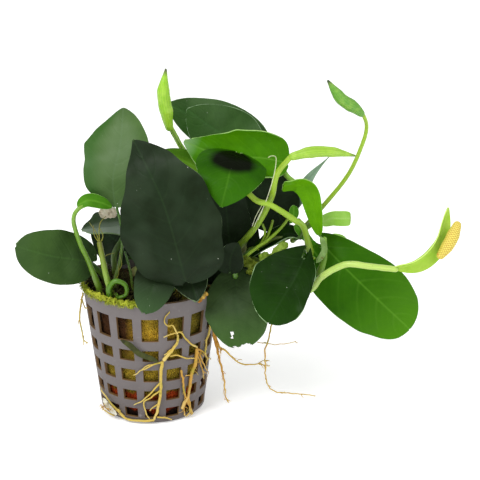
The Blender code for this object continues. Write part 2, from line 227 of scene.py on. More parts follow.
def makeStage(values):
    # view, white floor, even sky and two soft lamps
    scene = bpy.context.scene
    cameraData = bpy.data.cameras.new("camera")
    cameraData.lens = values["lens"]
    cameraData.sensor_width = values["sensor"]
    cameraData.clip_end = 20
    camera = bpy.data.objects.new("camera", cameraData)
    rise = radians(values["elevation"])
    away = np.array([0, -np.cos(rise), np.sin(rise)]) * values["distance"]
    camera.location = (np.array(values["target"]) + away) * mm
    camera.rotation_euler = (pi / 2 - rise, 0, 0)
    scene.collection.objects.link(camera)
    scene.camera = camera
    half = values["floorHalf"]
    corners = np.array([(-half, -half, 0), (half, -half, 0), (half, half, 0), (-half, half, 0)], float)
    floorMesh = meshFromArrays("floor", corners, np.array([[0, 1, 2, 3]]))
    floor = bpy.data.objects.new("floor", floorMesh)
    scene.collection.objects.link(floor)
    # lit from below like a light table
    material = newMaterial("matte white sweep paper", {
                "Base Color": values["floorColour"], "Roughness": 0.9, "Specular IOR Level": 0.0,
                "Emission Color": values["floorColour"], "Emission Strength": values["floorGlow"]})[0]
    floorMesh.materials.append(material)
    world = bpy.data.worlds.new("studio")
    world.use_nodes = True
    background = world.node_tree.nodes["Background"]
    background.inputs["Color"].default_value = linearColour(values["skyColour"])
    background.inputs["Strength"].default_value = values["skyStrength"]
    scene.world = world
    for name, (place, size, power) in lamps.items():
        light = bpy.data.lights.new(name, "AREA")
        light.size = size * mm
        light.energy = power
        lamp = bpy.data.objects.new(name, light)
        lamp.location = np.array(place) * mm
        aim = np.array(values["target"]) - np.array(place)
        lamp.rotation_euler = (np.arctan2(np.hypot(aim[0], aim[1]), -aim[2]), 0, np.arctan2(-aim[0], aim[1]))
        scene.collection.objects.link(lamp)
    scene.view_settings.view_transform = "Standard"


makeStage(stageValues)
print("stage ready")

# net pot: moulded polypropylene, matte grey-mauve; the windows let the wool show
potValues = dict(rimRadius=26.0, baseRadius=19.7, height=51.0, wall=1.2, columns=16, windowShare=0.65,
        firstWindow=-88.6, chamfer=1.2, baseRings=(9.5, 17.2), windowEdges=((2.6, 6.4), (9.9, 14.2),
            (18.2, 23.2), (27.0, 31.4), (35.4, 44.6)), windowSteps=4, stripSteps=2, softEdge=0.22,
        colour="#6a6464", shade="#5c5655", pale="#8a8584", cut="#4c3c2c", low="#544c4b", lowHeight=30)


def wallRadius(height):
    # the outer wall widens evenly from the base to the rim
    share = height / potValues["height"]
    return potValues["baseRadius"] + (potValues["rimRadius"] - potValues["baseRadius"]) * share


def potSheet(v):
    # rings of a cup from the middle of the base out and up the wall; cells inside a window are left out
    window = 2 * pi / v["columns"] * v["windowShare"]
    strip = 2 * pi / v["columns"] - window
    steps = np.concatenate([np.arange(v["windowSteps"]) / v["windowSteps"] * window - window / 2,
                window / 2 + np.arange(v["stripSteps"]) / v["stripSteps"] * strip])
    turns = radians(v["firstWindow"]) + 2 * pi * np.arange(v["columns"]) / v["columns"]
    angles = (turns[:, None] + steps[None, :]).ravel()
    inWindow = np.tile(np.arange(len(steps)) < v["windowSteps"], v["columns"])
    inner, outer = v["baseRings"]
    radii = [inner, outer, v["baseRadius"] - v["chamfer"]]
    heights = [0.0, 0.0, 0.0]
    openRows = [0]
    for low, high in ((0, v["chamfer"]),) + v["windowEdges"]:
        if low:
            openRows.append(len(heights))
            heights.append(low)
        heights.append(high)
    heights.append(v["height"])
    radii += [wallRadius(height) for height in heights[3:]]
    radii, heights = np.array(radii), np.array(heights)
    points = np.stack([radii[:, None] * np.cos(angles), radii[:, None] * np.sin(angles),
                np.repeat(heights[:, None], len(angles), 1)], -1)
    rows, columns = len(radii), len(angles)
    quads = gridFaces(rows, columns, True).reshape(rows - 1, columns, 4)
    keep = ~(np.isin(np.arange(rows - 1), openRows)[:, None] & inWindow[None, :])
    ring = np.arange(columns)
    middle = np.stack([np.full(columns, rows * columns), (ring + 1) % columns, ring], -1)
    return np.vstack([points.reshape(-1, 3), [[0, 0, 0]]]), quads[keep], middle


def makePot(v):
    # dull grey-mauve, faint flow marks
    material, tree, shader, place = newMaterial("moulded matte polypropylene", {"Specular IOR Level": 0.35})
    blotch = addNode(tree, "TexNoise", {"Vector": place, "Scale": 90, "Detail": 3,
                "Roughness": 0.55})
    grain = addNode(tree, "TexNoise", {"Vector": place, "Scale": 2600, "Detail": 2,
                "Roughness": 0.55})
    colour = addNode(tree, "Mix", {0: blotch, 6: v["shade"], 7: v["colour"]}, 2, data_type="RGBA")
    height = addNode(tree, "SeparateXYZ", {0: place}, "Z")
    # darker where it stood wet
    wet = addNode(tree, "Math", {0: addNode(tree, "Math", {0: height, 1: 1 / (v["lowHeight"] * mm)},
                    operation="MULTIPLY"), 1: addNode(tree, "Math", {0: blotch, 1: 0.4},
                    operation="MULTIPLY")}, operation="ADD")
    colour = addNode(tree, "Mix", {0: addNode(tree, "ValToRGB", {0: wet}, stops=[(0.3, 0.75), (1.2, 0.0)]),
                6: colour, 7: v["low"]}, 2, data_type="RGBA")
    scuff = blotches(tree, place, 420, [(0.6, 0.0), (0.75, 0.55)], 6, 0.7)
    tree.links.new(addNode(tree, "Mix", {0: scuff, 6: colour, 7: v["pale"]}, 2, data_type="RGBA"),
            shader.inputs["Base Color"])
    tree.links.new(addNode(tree, "ValToRGB", {0: grain}, stops=[(0.2, 0.5), (0.8, 0.68)]),
            shader.inputs["Roughness"])
    tree.links.new(addNode(tree, "Bump",
                {"Height": addNode(tree, "Math", {0: grain, 1: addNode(tree, "Math", {0: blotch, 1: 3.0},
                                operation="MULTIPLY")}, operation="ADD"), "Distance": 6e-05,
                 "Strength": 0.6}), shader.inputs["Normal"])
    # the window's cut edges: dark brown, patched with ochre
    cutMaterial, tree, shader, place = newMaterial("cut window edge", {"Roughness": 0.55})
    tree.links.new(addNode(tree, "Mix",
                {0: addNode(tree, "TexNoise", {"Vector": place, "Scale": 300, "Detail": 3,
                            "Roughness": 0.55}), 6: v["cut"], 7: "#7a5a2c"}, 2, data_type="RGBA"),
            shader.inputs["Base Color"])
    points, quads, middle = potSheet(v)
    # triangles of the base point the other way round from the wall's quads, so both are turned to face out
    mesh = meshFromArrays("netPot", points, quads, middle)
    piece = addPiece("netPot", mesh, material, "pot_plastic", "net_pot")
    mesh.materials.append(material)
    mesh.materials.append(cutMaterial)
    wall = piece.modifiers.new("wall", "SOLIDIFY")
    wall.thickness = v["wall"] * mm
    wall.offset = -1
    wall.use_even_offset = True
    wall.material_offset = 1
    wall.material_offset_rim = 2
    soft = piece.modifiers.new("soft edge", "BEVEL")
    soft.width = v["softEdge"] * mm
    soft.segments = 2
    soft.limit_method = "ANGLE"
    soft.angle_limit = radians(50)
    soft.harden_normals = True
    return piece


makePot(potValues)
print("pot ready")

# stone wool plug: matted mineral fibre, stained ochre to olive by the plant, orange and then black at the
# foot
woolValues = dict(gap=0.4, top=47.6, crown=0.7, rows=110, columns=200, lump=0.5, lumpSize=5.0, tuft=0.22,
        tuftSize=1.3, fibres=2600, fibreLength=5.0, fibreRadius=0.07, seed=11)


def woolRadius(height):
    # just inside the wall
    return wallRadius(height) - potValues["wall"] - 2 * woolValues["gap"]


def woolSurface(v):
    # profile up the side and in over the crown, carried round, and pressed in by smooth noise
    low = potValues["wall"] + v["gap"]
    side = np.linspace(low, v["top"], v["rows"])
    crown = np.linspace(1, 0.02, 30)[1:]
    heights = np.concatenate([side, v["top"] + v["crown"] * (1 - crown ** 2)])
    radii = np.concatenate([woolRadius(side), woolRadius(v["top"]) * crown])
    base = np.linspace(0.05, 1, 12, endpoint=False)
    heights = np.concatenate([np.full(len(base), low), heights])
    radii = np.concatenate([woolRadius(low) * base, radii])
    turns = 2 * pi * np.arange(v["columns"]) / v["columns"]
    rings = np.stack([radii[:, None] * np.cos(turns), radii[:, None] * np.sin(turns),
                np.repeat(heights[:, None], v["columns"], 1)], -1)
    press = v["lump"] * (1 + waveNoise(rings, v["seed"], v["lumpSize"])) / 2
    press = press + v["tuft"] * waveNoise(rings, v["seed"] + 1, v["tuftSize"], 14)
    outward = unit(rings * [1, 1, 0])
    return rings - outward * np.clip(press, 0, 1.2)[..., None]


def woolColour(tree, place):
    # bands by height, broken by noise, with dark brown and ochre patches
    height = addNode(tree, "SeparateXYZ", {0: place}, None)
    wander = addNode(tree, "TexNoise", {"Vector": place, "Scale": 170, "Detail": 4,
                "Roughness": 0.55})
    level = addNode(tree, "Math", {0: addNode(tree, "Math", {0: height.outputs["Z"], 1: 1 / (48 * mm)},
                    operation="MULTIPLY"), 1: addNode(tree, "Math", {0: wander, 1: 0.16, 2: -0.08},
                    operation="MULTIPLY_ADD")}, operation="ADD")
    bands = addNode(tree, "ValToRGB", {0: level}, stops=[(0.0, "#120a05"), (0.085, "#1d0d05"),
                (0.11, "#8e2f0a"), (0.17, "#b4440c"), (0.235, "#8a300a"), (0.265, "#776a1a"),
                (0.42, "#a08a2c"), (0.62, "#a08a2a"), (0.76, "#c09a30"), (1.0, "#8a8028")])
    dark = blotches(tree, place, 75, [(0.44, 0.0), (0.56, 1.0)], 2)
    left = addNode(tree, "ValToRGB", {0: addNode(tree, "Math", {0: height.outputs["X"], 1: 18.0, 2: 0.62},
                    operation="MULTIPLY_ADD")}, stops=[(0.46, 1.0), (0.55, 0.0)])
    right = addNode(tree, "ValToRGB", {0: addNode(tree, "Math", {0: height.outputs["X"], 1: 18.0, 2: 0.3},
                    operation="MULTIPLY_ADD")}, stops=[(0.42, 0.0), (0.5, 0.85)])
    upper = addNode(tree, "ValToRGB", {0: level}, stops=[(0.5, 0.0), (0.68, 1.0)])
    stain = addNode(tree, "Math",
            {0: addNode(tree, "Math", {0: addNode(tree, "Math", {0: dark, 1: 0.25}, operation="MULTIPLY"),
                        1: left}, operation="MAXIMUM"), 1: upper}, operation="MULTIPLY")
    colour = addNode(tree, "Mix", {0: addNode(tree, "Math", {0: right, 1: upper}, operation="MULTIPLY"),
                6: bands, 7: "#5c5a18"}, 2, data_type="RGBA")
    colour = addNode(tree, "Mix", {0: stain, 6: colour, 7: "#3f2610"}, 2, data_type="RGBA")
    fibre = addNode(tree, "TexWave", {"Scale": 260, "Distortion": 14.0, "Detail": 4.0, "Detail Scale": 2.2,
                "Vector": place}, "Fac", wave_type="BANDS")
    speck = blotches(tree, place, 1500, [(0.36, 1.0), (0.46, 0.0)], 4, 0.7)
    colour = addNode(tree, "Mix", {0: addNode(tree, "Math", {0: fibre, 1: 0.4}, operation="MULTIPLY"),
                6: colour, 7: "#d9be62"}, 2, data_type="RGBA", blend_type="SOFT_LIGHT")
    return (addNode(tree, "Mix", {0: addNode(tree, "Math", {0: speck, 1: 0.6}, operation="MULTIPLY"),
                    6: colour, 7: "#2a1a08"}, 2, data_type="RGBA"), fibre)


def woolMaterial():
    # matt fibre with stained bands
    material, tree, shader, place = newMaterial("wet stone wool", {"Roughness": 0.95,
                "Specular IOR Level": 0.15})
    colour, fibre = woolColour(tree, place)
    tree.links.new(colour, shader.inputs["Base Color"])
    tree.links.new(addNode(tree, "Bump",
                {"Height": addNode(tree, "Math",
                        {0: fibre, 1: addNode(tree, "TexNoise", {"Vector": place, "Scale": 1800,
                                    "Detail": 4, "Roughness": 0.7})}, operation="ADD"), "Distance": 0.0004,
                 "Strength": 1.0}), shader.inputs["Normal"])
    return material


def strands(centres, directions, lengths, radii, sides, rings, bend, seed):
    # many thin tubes at once: each runs from its centre along its direction and curls by smooth random bends
    random = np.random.default_rng(seed)
    count = len(centres)
    share = np.linspace(0, 1, rings)
    across = unit(np.cross(directions, random.normal(size=(count, 3))))
    third = np.cross(directions, across)
    waves = random.uniform(0.4, 1.3, (2, count, 1)) * 2 * pi
    phases = random.uniform(0, 2 * pi, (2, count, 1))
    sway = [bend * lengths[:, None] * (np.sin(waves[i] * share + phases[i]) - np.sin(phases[i]))
            for i in range(2)]
    path = (centres[:, None] + directions[:, None] * (share * lengths[:, None])[..., None] + across[:, None]
            * sway[0][..., None] + third[:, None] * sway[1][..., None])
    turn = 2 * pi * np.arange(sides) / sides
    circle = (across[:, None] * np.cos(turn)[None, :, None] + third[:, None] * np.sin(turn)[None, :, None])
    thin = np.broadcast_to(radii[:, None] * (1 - 0.6 * share), (count, rings))
    rims = path[:, :, None] + circle[:, None] * thin[..., None, None]
    points = np.concatenate([rims.reshape(count, -1, 3), path[:, :1], path[:, -1:]], 1)
    quads = gridFaces(rings, sides, True)
    column = np.arange(sides)
    after = (column + 1) % sides
    size = rings * sides + 2
    caps = np.concatenate([np.stack([np.full(sides, size - 2), after, column], -1),
                np.stack([np.full(sides, size - 1), size - 2 - sides + column, size - 2 - sides + after],
                    -1)])
    offset = (np.arange(count) * size)[:, None, None]
    u = np.concatenate([np.repeat(share, sides), [0, 1]])
    uv = np.stack([np.tile(u, count), np.repeat(random.random(count), size)], -1)
    return (points.reshape(-1, 3), (quads + offset).reshape(-1, 4), (caps + offset).reshape(-1, 3), uv, {})


def makeWool(v):
    # the plug, and loose fibres that lie along its side at random leans
    material = woolMaterial()
    points, quads, triangles = closedTube(woolSurface(v))
    addPiece("stoneWool", meshFromArrays("stoneWool", points, quads, triangles), material, "stone_wool",
            "stone_wool")
    random = np.random.default_rng(v["seed"])
    turns = random.uniform(0, 2 * pi, v["fibres"])
    heights = random.uniform(3, v["top"], v["fibres"])
    radii = woolRadius(heights) - 0.35
    centres = np.stack([radii * np.cos(turns), radii * np.sin(turns), heights], -1)
    around = np.stack([-np.sin(turns), np.cos(turns), np.zeros(v["fibres"])], -1)
    lean = random.uniform(-1.4, 1.4, v["fibres"])
    directions = around * np.cos(lean)[:, None] + np.array([0, 0, 1]) * np.sin(lean)[:, None]
    lengths = random.uniform(0.4, 1.0, v["fibres"]) * v["fibreLength"]
    centres[:, 2] = np.minimum(centres[:, 2], v["top"] - 2 - lengths)
    centres[:, 2] = np.maximum(centres[:, 2], 0.5 + lengths * (0.25 + np.maximum(0, -directions[:, 2])))
    parts = strands(centres, directions, lengths, np.full(v["fibres"], v["fibreRadius"]), 3, 6, 0.12,
            v["seed"])
    # fibres that a bend would carry through the wall are drawn back to the plug's own surface
    radius = np.linalg.norm(parts[0][:, :2], axis=1)
    limit = woolRadius(parts[0][:, 2]) + 0.1
    parts[0][:, :2] *= np.minimum(1, limit / np.maximum(radius, 1e-6))[:, None]
    addPiece("woolFibres", meshFromArrays("woolFibres", *parts), material, "stone_wool")


makeWool(woolValues)
print("wool ready")

# leaves: thick waxy blades. Most names are the CAD nodes' names in camelCase; five small blades have no node.
# spine runs from base to tip; face is where the upper side looks; rise and fall are the powers of the outline
# at the base and the tip; left and right are shares of the half width at even places along; frill is the
# margin's waviness in its own plane.
darkLeaf = dict(look="darkWaxy", curl=20, wave=0.5, waves=2.0, heart=2, rise=0.45, fall=0.72, frill=0.02)
youngLeaf = dict(darkLeaf, look="brightYoung")
leafValues = {
    "frontLeaf": dict(darkLeaf, spine=[(14, -27, 60.5), (12, -31, 71), (7, -30, 90), (1, -26, 103),
                (-4.5, -17, 111)], face=(-0.1, -1.0, 0.2), width=33, curl=-25, wave=1.1, waves=3.0, heart=1.5,
            frill=0.05, rise=0.36, left=[0.75, 1.08, 1.16, 1.12, 0.88, 0.45], right=[1.1, 1.05, 1.12, 1.1,
                1.05, 0.9]),
    "upperLeftLeaf": dict(darkLeaf, look="greySheen", spine=[(-12, -12, 84), (-12.5, -12, 95), (-10, -8, 106),
                (-9, 1, 118)], face=(-0.25, -1.0, 0.25), width=23, curl=14, wave=0.8, heart=0, frill=0.04,
            left=[0.7, 0.95, 1.05, 1.3, 1.25, 1.0], right=[0.8, 0.9, 1, 1.1, 1.1, 1.2]),
    "leftLeaf": dict(darkLeaf, look="midGreen", spine=[(-22, -8, 61), (-28, -13, 64), (-37, -17, 67),
                (-48, -18, 71)], face=(-0.1, -0.9, 0.45), width=20, curl=25, wave=0.6, heart=3, fall=0.5),
    "greyLeaf": dict(darkLeaf, look="silverTop", spine=[(-9, 6, 71), (-14, 1, 72), (-19, -3, 73),
                (-25, -5, 73)], face=(-0.4, -0.5, 0.9), width=17, curl=40),
    "shadeLeaf": dict(darkLeaf, spine=[(-9, 8, 57), (-13, 12, 61), (-18, 14, 65), (-23, 13, 69)],
            face=(-0.2, -0.8, 0.6), width=18, wave=0.4),
    "overRimLeaf": dict(darkLeaf, look="paleShade", spine=[(5, -15, 65), (4, -22, 64), (2, -28, 58),
                (-1, -31, 50)], face=(0.0, -0.9, 0.5), width=15, curl=-20, wave=0.4, fall=0.5),
    "underFrontLeaf": dict(darkLeaf, spine=[(10, -10, 62), (13, -16, 61), (16, -22, 58), (18, -27, 53)],
            face=(0.1, -0.9, 0.5), width=15, wave=0.4),
    "tornLeaf": dict(darkLeaf, look="bitten", spine=[(32, -12, 57), (32, -18, 51), (33, -21, 42),
                (34, -20, 31)], face=(-0.1, -1.0, 0.3), width=23, curl=-20, wave=0.8, heart=3, fall=0.5,
            frill=0.04),
    "glossyLeaf": dict(darkLeaf, look="glossyDark", spine=[(57, -18.5, 66.3), (54, -25, 61.8),
                (48.8, -30.3, 54.8), (44, -31.5, 46.3)], face=(0.1, -0.9, 0.4), width=25, curl=35, wave=0.9,
            heart=6, rise=0.6, fall=0.45, frill=0.03, left=[0.5, 0.62, 0.66, 0.7, 0.68],
            right=[0.8, 1.15, 1.2, 1.02, 0.78]),
    "edgeOnLeaf": dict(darkLeaf, look="glossyDark", spine=[(57, -7, 70.5), (51, -8, 72.3), (45, -8, 69),
                (36, -7, 62.5)], face=(0.3, -0.5, 0.9), width=8, curl=110, wave=0.3, heart=0),
    "brightLeaf": dict(youngLeaf, look="brightVeined", spine=[(65, -2, 65.5), (74, -8, 57.5), (86, -10, 46),
                (98, -6, 33)], face=(0.0, -1.0, 0.3), width=27, wave=1.1, heart=5, fall=0.42, frill=0.03,
            left=[0.7, 0.85, 1, 1, 1], right=[1.3, 1.25, 1.12, 1, 1]),
    "troughLeaf": dict(youngLeaf, look="hollowYoung", spine=[(50, -2, 98), (41, -6, 101), (28, -8, 102),
                (13, -2, 106)], face=(0.0, -0.9, 0.5), width=22, curl=120, frill=0.04,
            left=[0.8, 0.85, 1, 0.95, 0.75], right=[1, 1, 1, 0.85, 0.55]),
    "hangingLeaf": dict(youngLeaf, look="cupYoung", spine=[(33, -10, 104), (31, -18, 103), (29, -26, 97),
                (27, -27, 89)], face=(0.0, -0.9, 0.6), width=26, curl=-30, heart=1, fall=0.85),
    "backLeftLeaf": dict(darkLeaf, look="deepSheen", spine=[(42, 16, 97), (32, 22, 101), (20, 25, 106),
                (6, 24, 113)], face=(-0.2, -0.9, 0.4), width=21, curl=30, heart=3),
    "backRightLeaf": dict(darkLeaf, look="deepSheen", spine=[(39, 8, 97), (31, 12, 102), (23, 13, 107),
                (14, 13, 114)], face=(-0.2, -0.9, 0.4), width=23, curl=30, heart=3),
    "wedgeLeaf": dict(youngLeaf, look="wedgeYoung", spine=[(23, 0, 91), (17, 2, 95), (11, 2, 98),
                (4, 2, 101)], face=(0.0, -0.8, 0.6), width=10, curl=30, wave=0.3, heart=1),
    "strapLeaf": dict(youngLeaf, look="strapYoung", spine=[(63, -8, 71.5), (61, -9, 81), (59, -10, 88.5),
                (55.5, -12, 92.5), (49.5, -13, 92.5)], face=(-0.4, -0.9, 0.2), width=8.4, curl=30, wave=0.3,
            waves=1.0, heart=0, rise=0.4, fall=0.06),
    "greyTipLeaf": dict(darkLeaf, look="greyTip", spine=[(54, 5, 78), (58, 9, 85), (61.5, 12, 89.5),
                (67.5, 14, 95.5)], face=(-0.5, -0.8, 0.3), width=5.5, curl=40, wave=0.2, waves=1.0, heart=1,
            rise=0.4, fall=1.5),
    "darkBackLeaf": dict(darkLeaf, spine=[(36, 7, 91), (42, 4, 84), (47, 2, 78), (51, 3, 71)],
            face=(0.1, -1.0, 0.3), width=23, wave=0.4, heart=0, fall=0.5),
    "rhizomeLeaf": dict(darkLeaf, spine=[(30, -13, 59), (30, -14, 63), (31, -14, 67), (33, -12, 70)],
            face=(0.1, -1.0, 0.3), width=10, curl=50, wave=0.2, waves=1.0, heart=1),
    "innerLeaf": dict(darkLeaf, spine=[(30, -4, 66), (29, -4, 76), (28, -4, 85), (25, -3, 94)],
            face=(0.1, -1.0, 0.2), width=17, curl=15, wave=0.3, waves=1.0, heart=1),
    "shadowLeaf": dict(darkLeaf, spine=[(34, 0, 55), (34, 2, 66), (34, 3, 80), (32, 4, 92)],
            face=(0.1, -1.0, 0.2), width=15, curl=15, wave=0.3, waves=1.0, heart=0, rise=0.14),
    "lowShadowLeaf": dict(darkLeaf, spine=[(21, 1, 49), (23, 2, 62), (25, 2, 76), (25, 2, 88)],
            face=(0.1, -1.0, 0.2), width=17, curl=15, wave=0.3, waves=1.0, heart=0, rise=0.14),
    "foldLeaf": dict(youngLeaf, look="foldYoung", spine=[(-25.6, -14.8, 85.4), (-21.6, -14.6, 87.4),
                (-17, -14.2, 86.4), (-13, -13.6, 84.4)], face=(-0.1, -0.9, 0.4), width=5.2, curl=60, wave=0.2,
            waves=1.0, heart=0, rise=0.5, fall=0.6),
    "slipLeaf": dict(youngLeaf, look="foldYoung", spine=[(54, -9, 76), (56.4, -9, 73.2), (58.7, -9, 70.6),
                (61.7, -9, 68.4)], face=(0.1, -1.0, 0.3), width=3.6, curl=60, wave=0.2, waves=1.0, heart=0),
    "youngBlade": dict(youngLeaf, look="foldYoung", spine=[(53.4, -9, 83.5), (53.4, -9, 80.2),
                (52.4, -9, 76.5)], face=(0.2, -1.0, 0.2), width=3.8, curl=60, wave=0.2, waves=1.0, heart=0),
    "narrowLeaf": dict(youngLeaf, spine=[(59, -11, 70), (60, -10, 68), (61, -9, 66), (63, -9, 63)],
            face=(0.6, -0.9, 0.3), width=5, curl=60, wave=0.0, waves=1.0, heart=0),
    "paleLobe": dict(youngLeaf, look="paleYoung", spine=[(67, 6, 62), (69, 7, 64), (72, 8, 64), (75, 8, 63)],
            face=(0.0, -0.8, 0.6), width=5, curl=40, wave=0.0, waves=1.0, heart=0),
    "paleBract": dict(youngLeaf, look="paleYoung", spine=[(64, 2, 73), (68, 1, 75), (71, 1, 75), (75, 1, 75)],
            face=(0.0, -1.0, 0.1), width=6, curl=40, wave=0.2, waves=1.0, heart=0, rise=0.25, fall=0.1),
    "openSpathe": dict(youngLeaf, look="spathe", spine=[(89.5, -26.5, 65.3), (98, -27, 68.3),
                (105, -26, 75.5), (109, -21.5, 87)], face=(0.75, -0.65, 0.1), width=9.5, curl=115, wave=0.2,
            waves=1.0, heart=0, rise=0.6, fall=0.8),
}
leafBuild = dict(rows=84, columns=44, thickness=0.5, ribThickness=1.0, groove=0.28, grooveWidth=0.8,
        veinRelief=0.07, quilt=0.22, quiltSize=7.0, blunt=0.035)
# look of each kind of leaf; deep and light are mottled together, side and tip tint that part of the blade;
# the paler soft patches and the grey-green middle are painted sheen, and the dark foot and hollow are painted
# shade
plainLook = dict(deep="#121d0b", light="#192715", side="#2a3e2b", sideAmount=0.0, sideFrom=0.38, sideTo=0.72,
        tip="#2a3e2b", tipAmount=0.0, tipFrom=0.45, paintedMiddleSheen="#2a3e2b", paintedMiddleSheenAmount=0.0, under="#3b5a1e",
        vein="#2a4022", veinAmount=0.1, rib="#2c4424", ribAmount=0.22, margin="#7f9a68", paintedSheen="#3f4e3a",
        paintedSheenAmount=0.3, veins=7, rough=0.45, gloss=0.08, coat=0.0, through=0.0, specks=0.8, hollow=0.0,
        footShade=0.0)
brightLook = dict(plainLook, deep="#2c6204", light="#3d7a08", under="#568f1c", vein="#74a83a",
        veinAmount=0.12, rib="#6fa634", ribAmount=0.45, margin="#b0d47c", paintedSheen="#4c8416", paintedSheenAmount=0.1,
        rough=0.4, gloss=0.06, through=0.16, specks=0.15)
leafLooks = {
    "darkWaxy": plainLook,
    "greyTip": dict(plainLook, deep="#5c7a58", light="#7d9880", under="#6f8c5c", paintedSheen="#93a892",
            paintedSheenAmount=0.4),
    "greySheen": dict(plainLook, deep="#3a5426", light="#44602e", side="#30551d", sideAmount=0.9,
            sideFrom=0.08, sideTo=0.3, paintedMiddleSheen="#526942", paintedMiddleSheenAmount=0.9, under="#5f9a28", vein="#66865c",
            veinAmount=0.08, rib="#587050", paintedSheen="#5f745a", paintedSheenAmount=0.15, margin="#8dab74"),
    "midGreen": dict(plainLook, deep="#283f18", light="#334b1f", under="#4f7c2a", vein="#3f6230",
            rib="#41642c", paintedSheen="#3c5034", tip="#345020", tipAmount=0.4, paintedSheenAmount=0.25),
    # the silvery side colour here is a painted reflection along the blade's edge, seen at a grazing angle
    "silverTop": dict(plainLook, deep="#1c2c14", light="#26381c", side="#7d8c7c", sideAmount=0.7,
            under="#5d7840"),
    # painted shade: the base of this blade, in the front leaf's shadow, is nearly black, and its tip is
    # lighter
    "paleShade": dict(plainLook, deep="#0e160a", light="#151f0e", tip="#3a5430", tipAmount=0.75,
            paintedSheen="#4c6240", paintedSheenAmount=0.3),
    "bitten": dict(plainLook, deep="#2a3c1e", light="#384c2a", tip="#3c6420", tipAmount=0.5,
            margin="#4a3a1c"),
    "glossyDark": dict(plainLook, deep="#0c2003", light="#163006", tip="#224a0c", tipAmount=0.4,
            margin="#a3c88c", rough=0.3, gloss=0.05, paintedSheen="#1f3c10", paintedSheenAmount=0.2),
    "deepSheen": dict(plainLook, deep="#2e4a22", light="#3c5a2c", side="#244c0e", sideAmount=0.4,
            rib="#44703a", paintedSheen="#557048", paintedSheenAmount=0.45, vein="#486a40", margin="#86a878"),
    "brightYoung": brightLook,
    "wedgeYoung": dict(brightLook, deep="#3c6a10", light="#527e18", side="#7aa82c", sideAmount=0.6),
    "cupYoung": dict(brightLook, deep="#204c01", light="#2b5c02", footShade=1.0, tip="#3f7a10", tipAmount=0.5,
            veinAmount=0.05, ribAmount=0.15),
    "strapYoung": dict(brightLook, deep="#559404", light="#68a808", rib="#6aa814", ribAmount=0.25,
            veinAmount=0.05),
    "brightVeined": dict(brightLook, deep="#285803", light="#326404", tip="#4c860e", tipAmount=0.8,
            veinAmount=0.1, veins=5, ribAmount=0.28),
    # the pale grey-green tip is a painted reflection where the tip turns away at a grazing angle
    "hollowYoung": dict(brightLook, deep="#3c7602", light="#4b8803", tip="#86a878", tipAmount=0.9,
            tipFrom=0.84, hollow=0.97, veinAmount=0.04),
    "foldYoung": dict(brightLook, deep="#3c7410", light="#4f8a1c", through=0.2),
    "paleYoung": dict(brightLook, deep="#98cc48", light="#b4dc74", under="#b4dc74", vein="#c4e088",
            rib="#c8e494", margin="#d0e8a0", through=0.4),
    "spathe": dict(brightLook, deep="#a2cc3c", light="#b8d858", under="#a9cf48", vein="#c4e070",
            rib="#bcd868", margin="#cfe688", veins=3, through=0.25),
}


def leafSheet(v, build):
    # a spine with a rounded arc of margins across it: half width times base power and tip power of the place
    # along, bent to the curl, rippled towards the margin, pushed back at the base lobes, grooved along the
    # rib
    along = 0.5 - 0.5 * np.cos(pi * np.linspace(0, 1, build["rows"]))
    across = np.sin(pi / 2 * np.linspace(-1, 1, build["columns"] + 1))
    spine = smoothPath(v["spine"], along)
    tangent = unit(np.gradient(spine, axis=0))
    side = np.cross(spine[-1] - spine[0], np.array(v["face"], float))
    side = unit(side - (tangent @ side)[:, None] * tangent)
    normal = np.cross(side, tangent)
    outline = along ** v["rise"] * (1 - along) ** v["fall"]
    outline = np.maximum(outline / outline.max(), build["blunt"])
    shares = [np.interp(along, np.linspace(0, 1, len(v.get(edge, [1, 1]))), v.get(edge, [1, 1]))
            for edge in ("left", "right")]
    share = np.where(across < 0, shares[0][:, None], shares[1][:, None])
    seed = sum(ord(letter) for letter in v["look"]) + int(v["width"] * 10)
    half = (v["width"] / 2 * outline)[:, None] * (1 + (share - 1) * np.abs(across))
    wobble = waveNoise(np.stack([along * 6, np.zeros_like(along), np.zeros_like(along)], -1)[:, None]
            + np.sign(across)[None, :, None] * [0, 9, 0], seed, 1.6)
    half = half * (1 + v["frill"] * wobble * across ** 4)
    arc = radians(v["curl"]) / 2 * outline[:, None]
    arc = np.where(abs(arc) < 0.001, 0.001, arc)
    sideways = half * np.sin(arc * across) / arc
    ripple = np.sin(2 * pi * v["waves"] * along[:, None] + 0.9 * across)
    rise = half * (1 - np.cos(arc * across)) / arc + v["wave"] * outline[:, None] * across ** 2 * ripple
    ribAway = np.abs(across) * half
    scale = np.minimum(1, v["width"] / 16)
    rise = rise - build["groove"] * scale * np.exp(-(ribAway / build["grooveWidth"]) ** 2)
    veinPhase = (along[:, None] - 0.3 * np.abs(across) ** 1.3) * leafLooks[v["look"]]["veins"]
    rise = rise - build["veinRelief"] * scale * np.cos(2 * pi * veinPhase) ** 8 * outline[:, None]
    back = v["heart"] * across ** 2 * (1 - along[:, None]) ** 3 * (outline[:, None] > 0.1)
    points = (spine[:, None] + side[:, None] * sideways[..., None] + normal[:, None] * rise[..., None]
            - tangent[:, None] * back[..., None])
    quilt = build["quilt"] * scale * waveNoise(points, seed, build["quiltSize"]) * outline[:, None]
    points = points + normal[:, None] * quilt[..., None]
    uv = np.stack(np.broadcast_arrays(along[:, None], (across[None, :] + 1) / 2), -1)
    return points, uv, ribAway


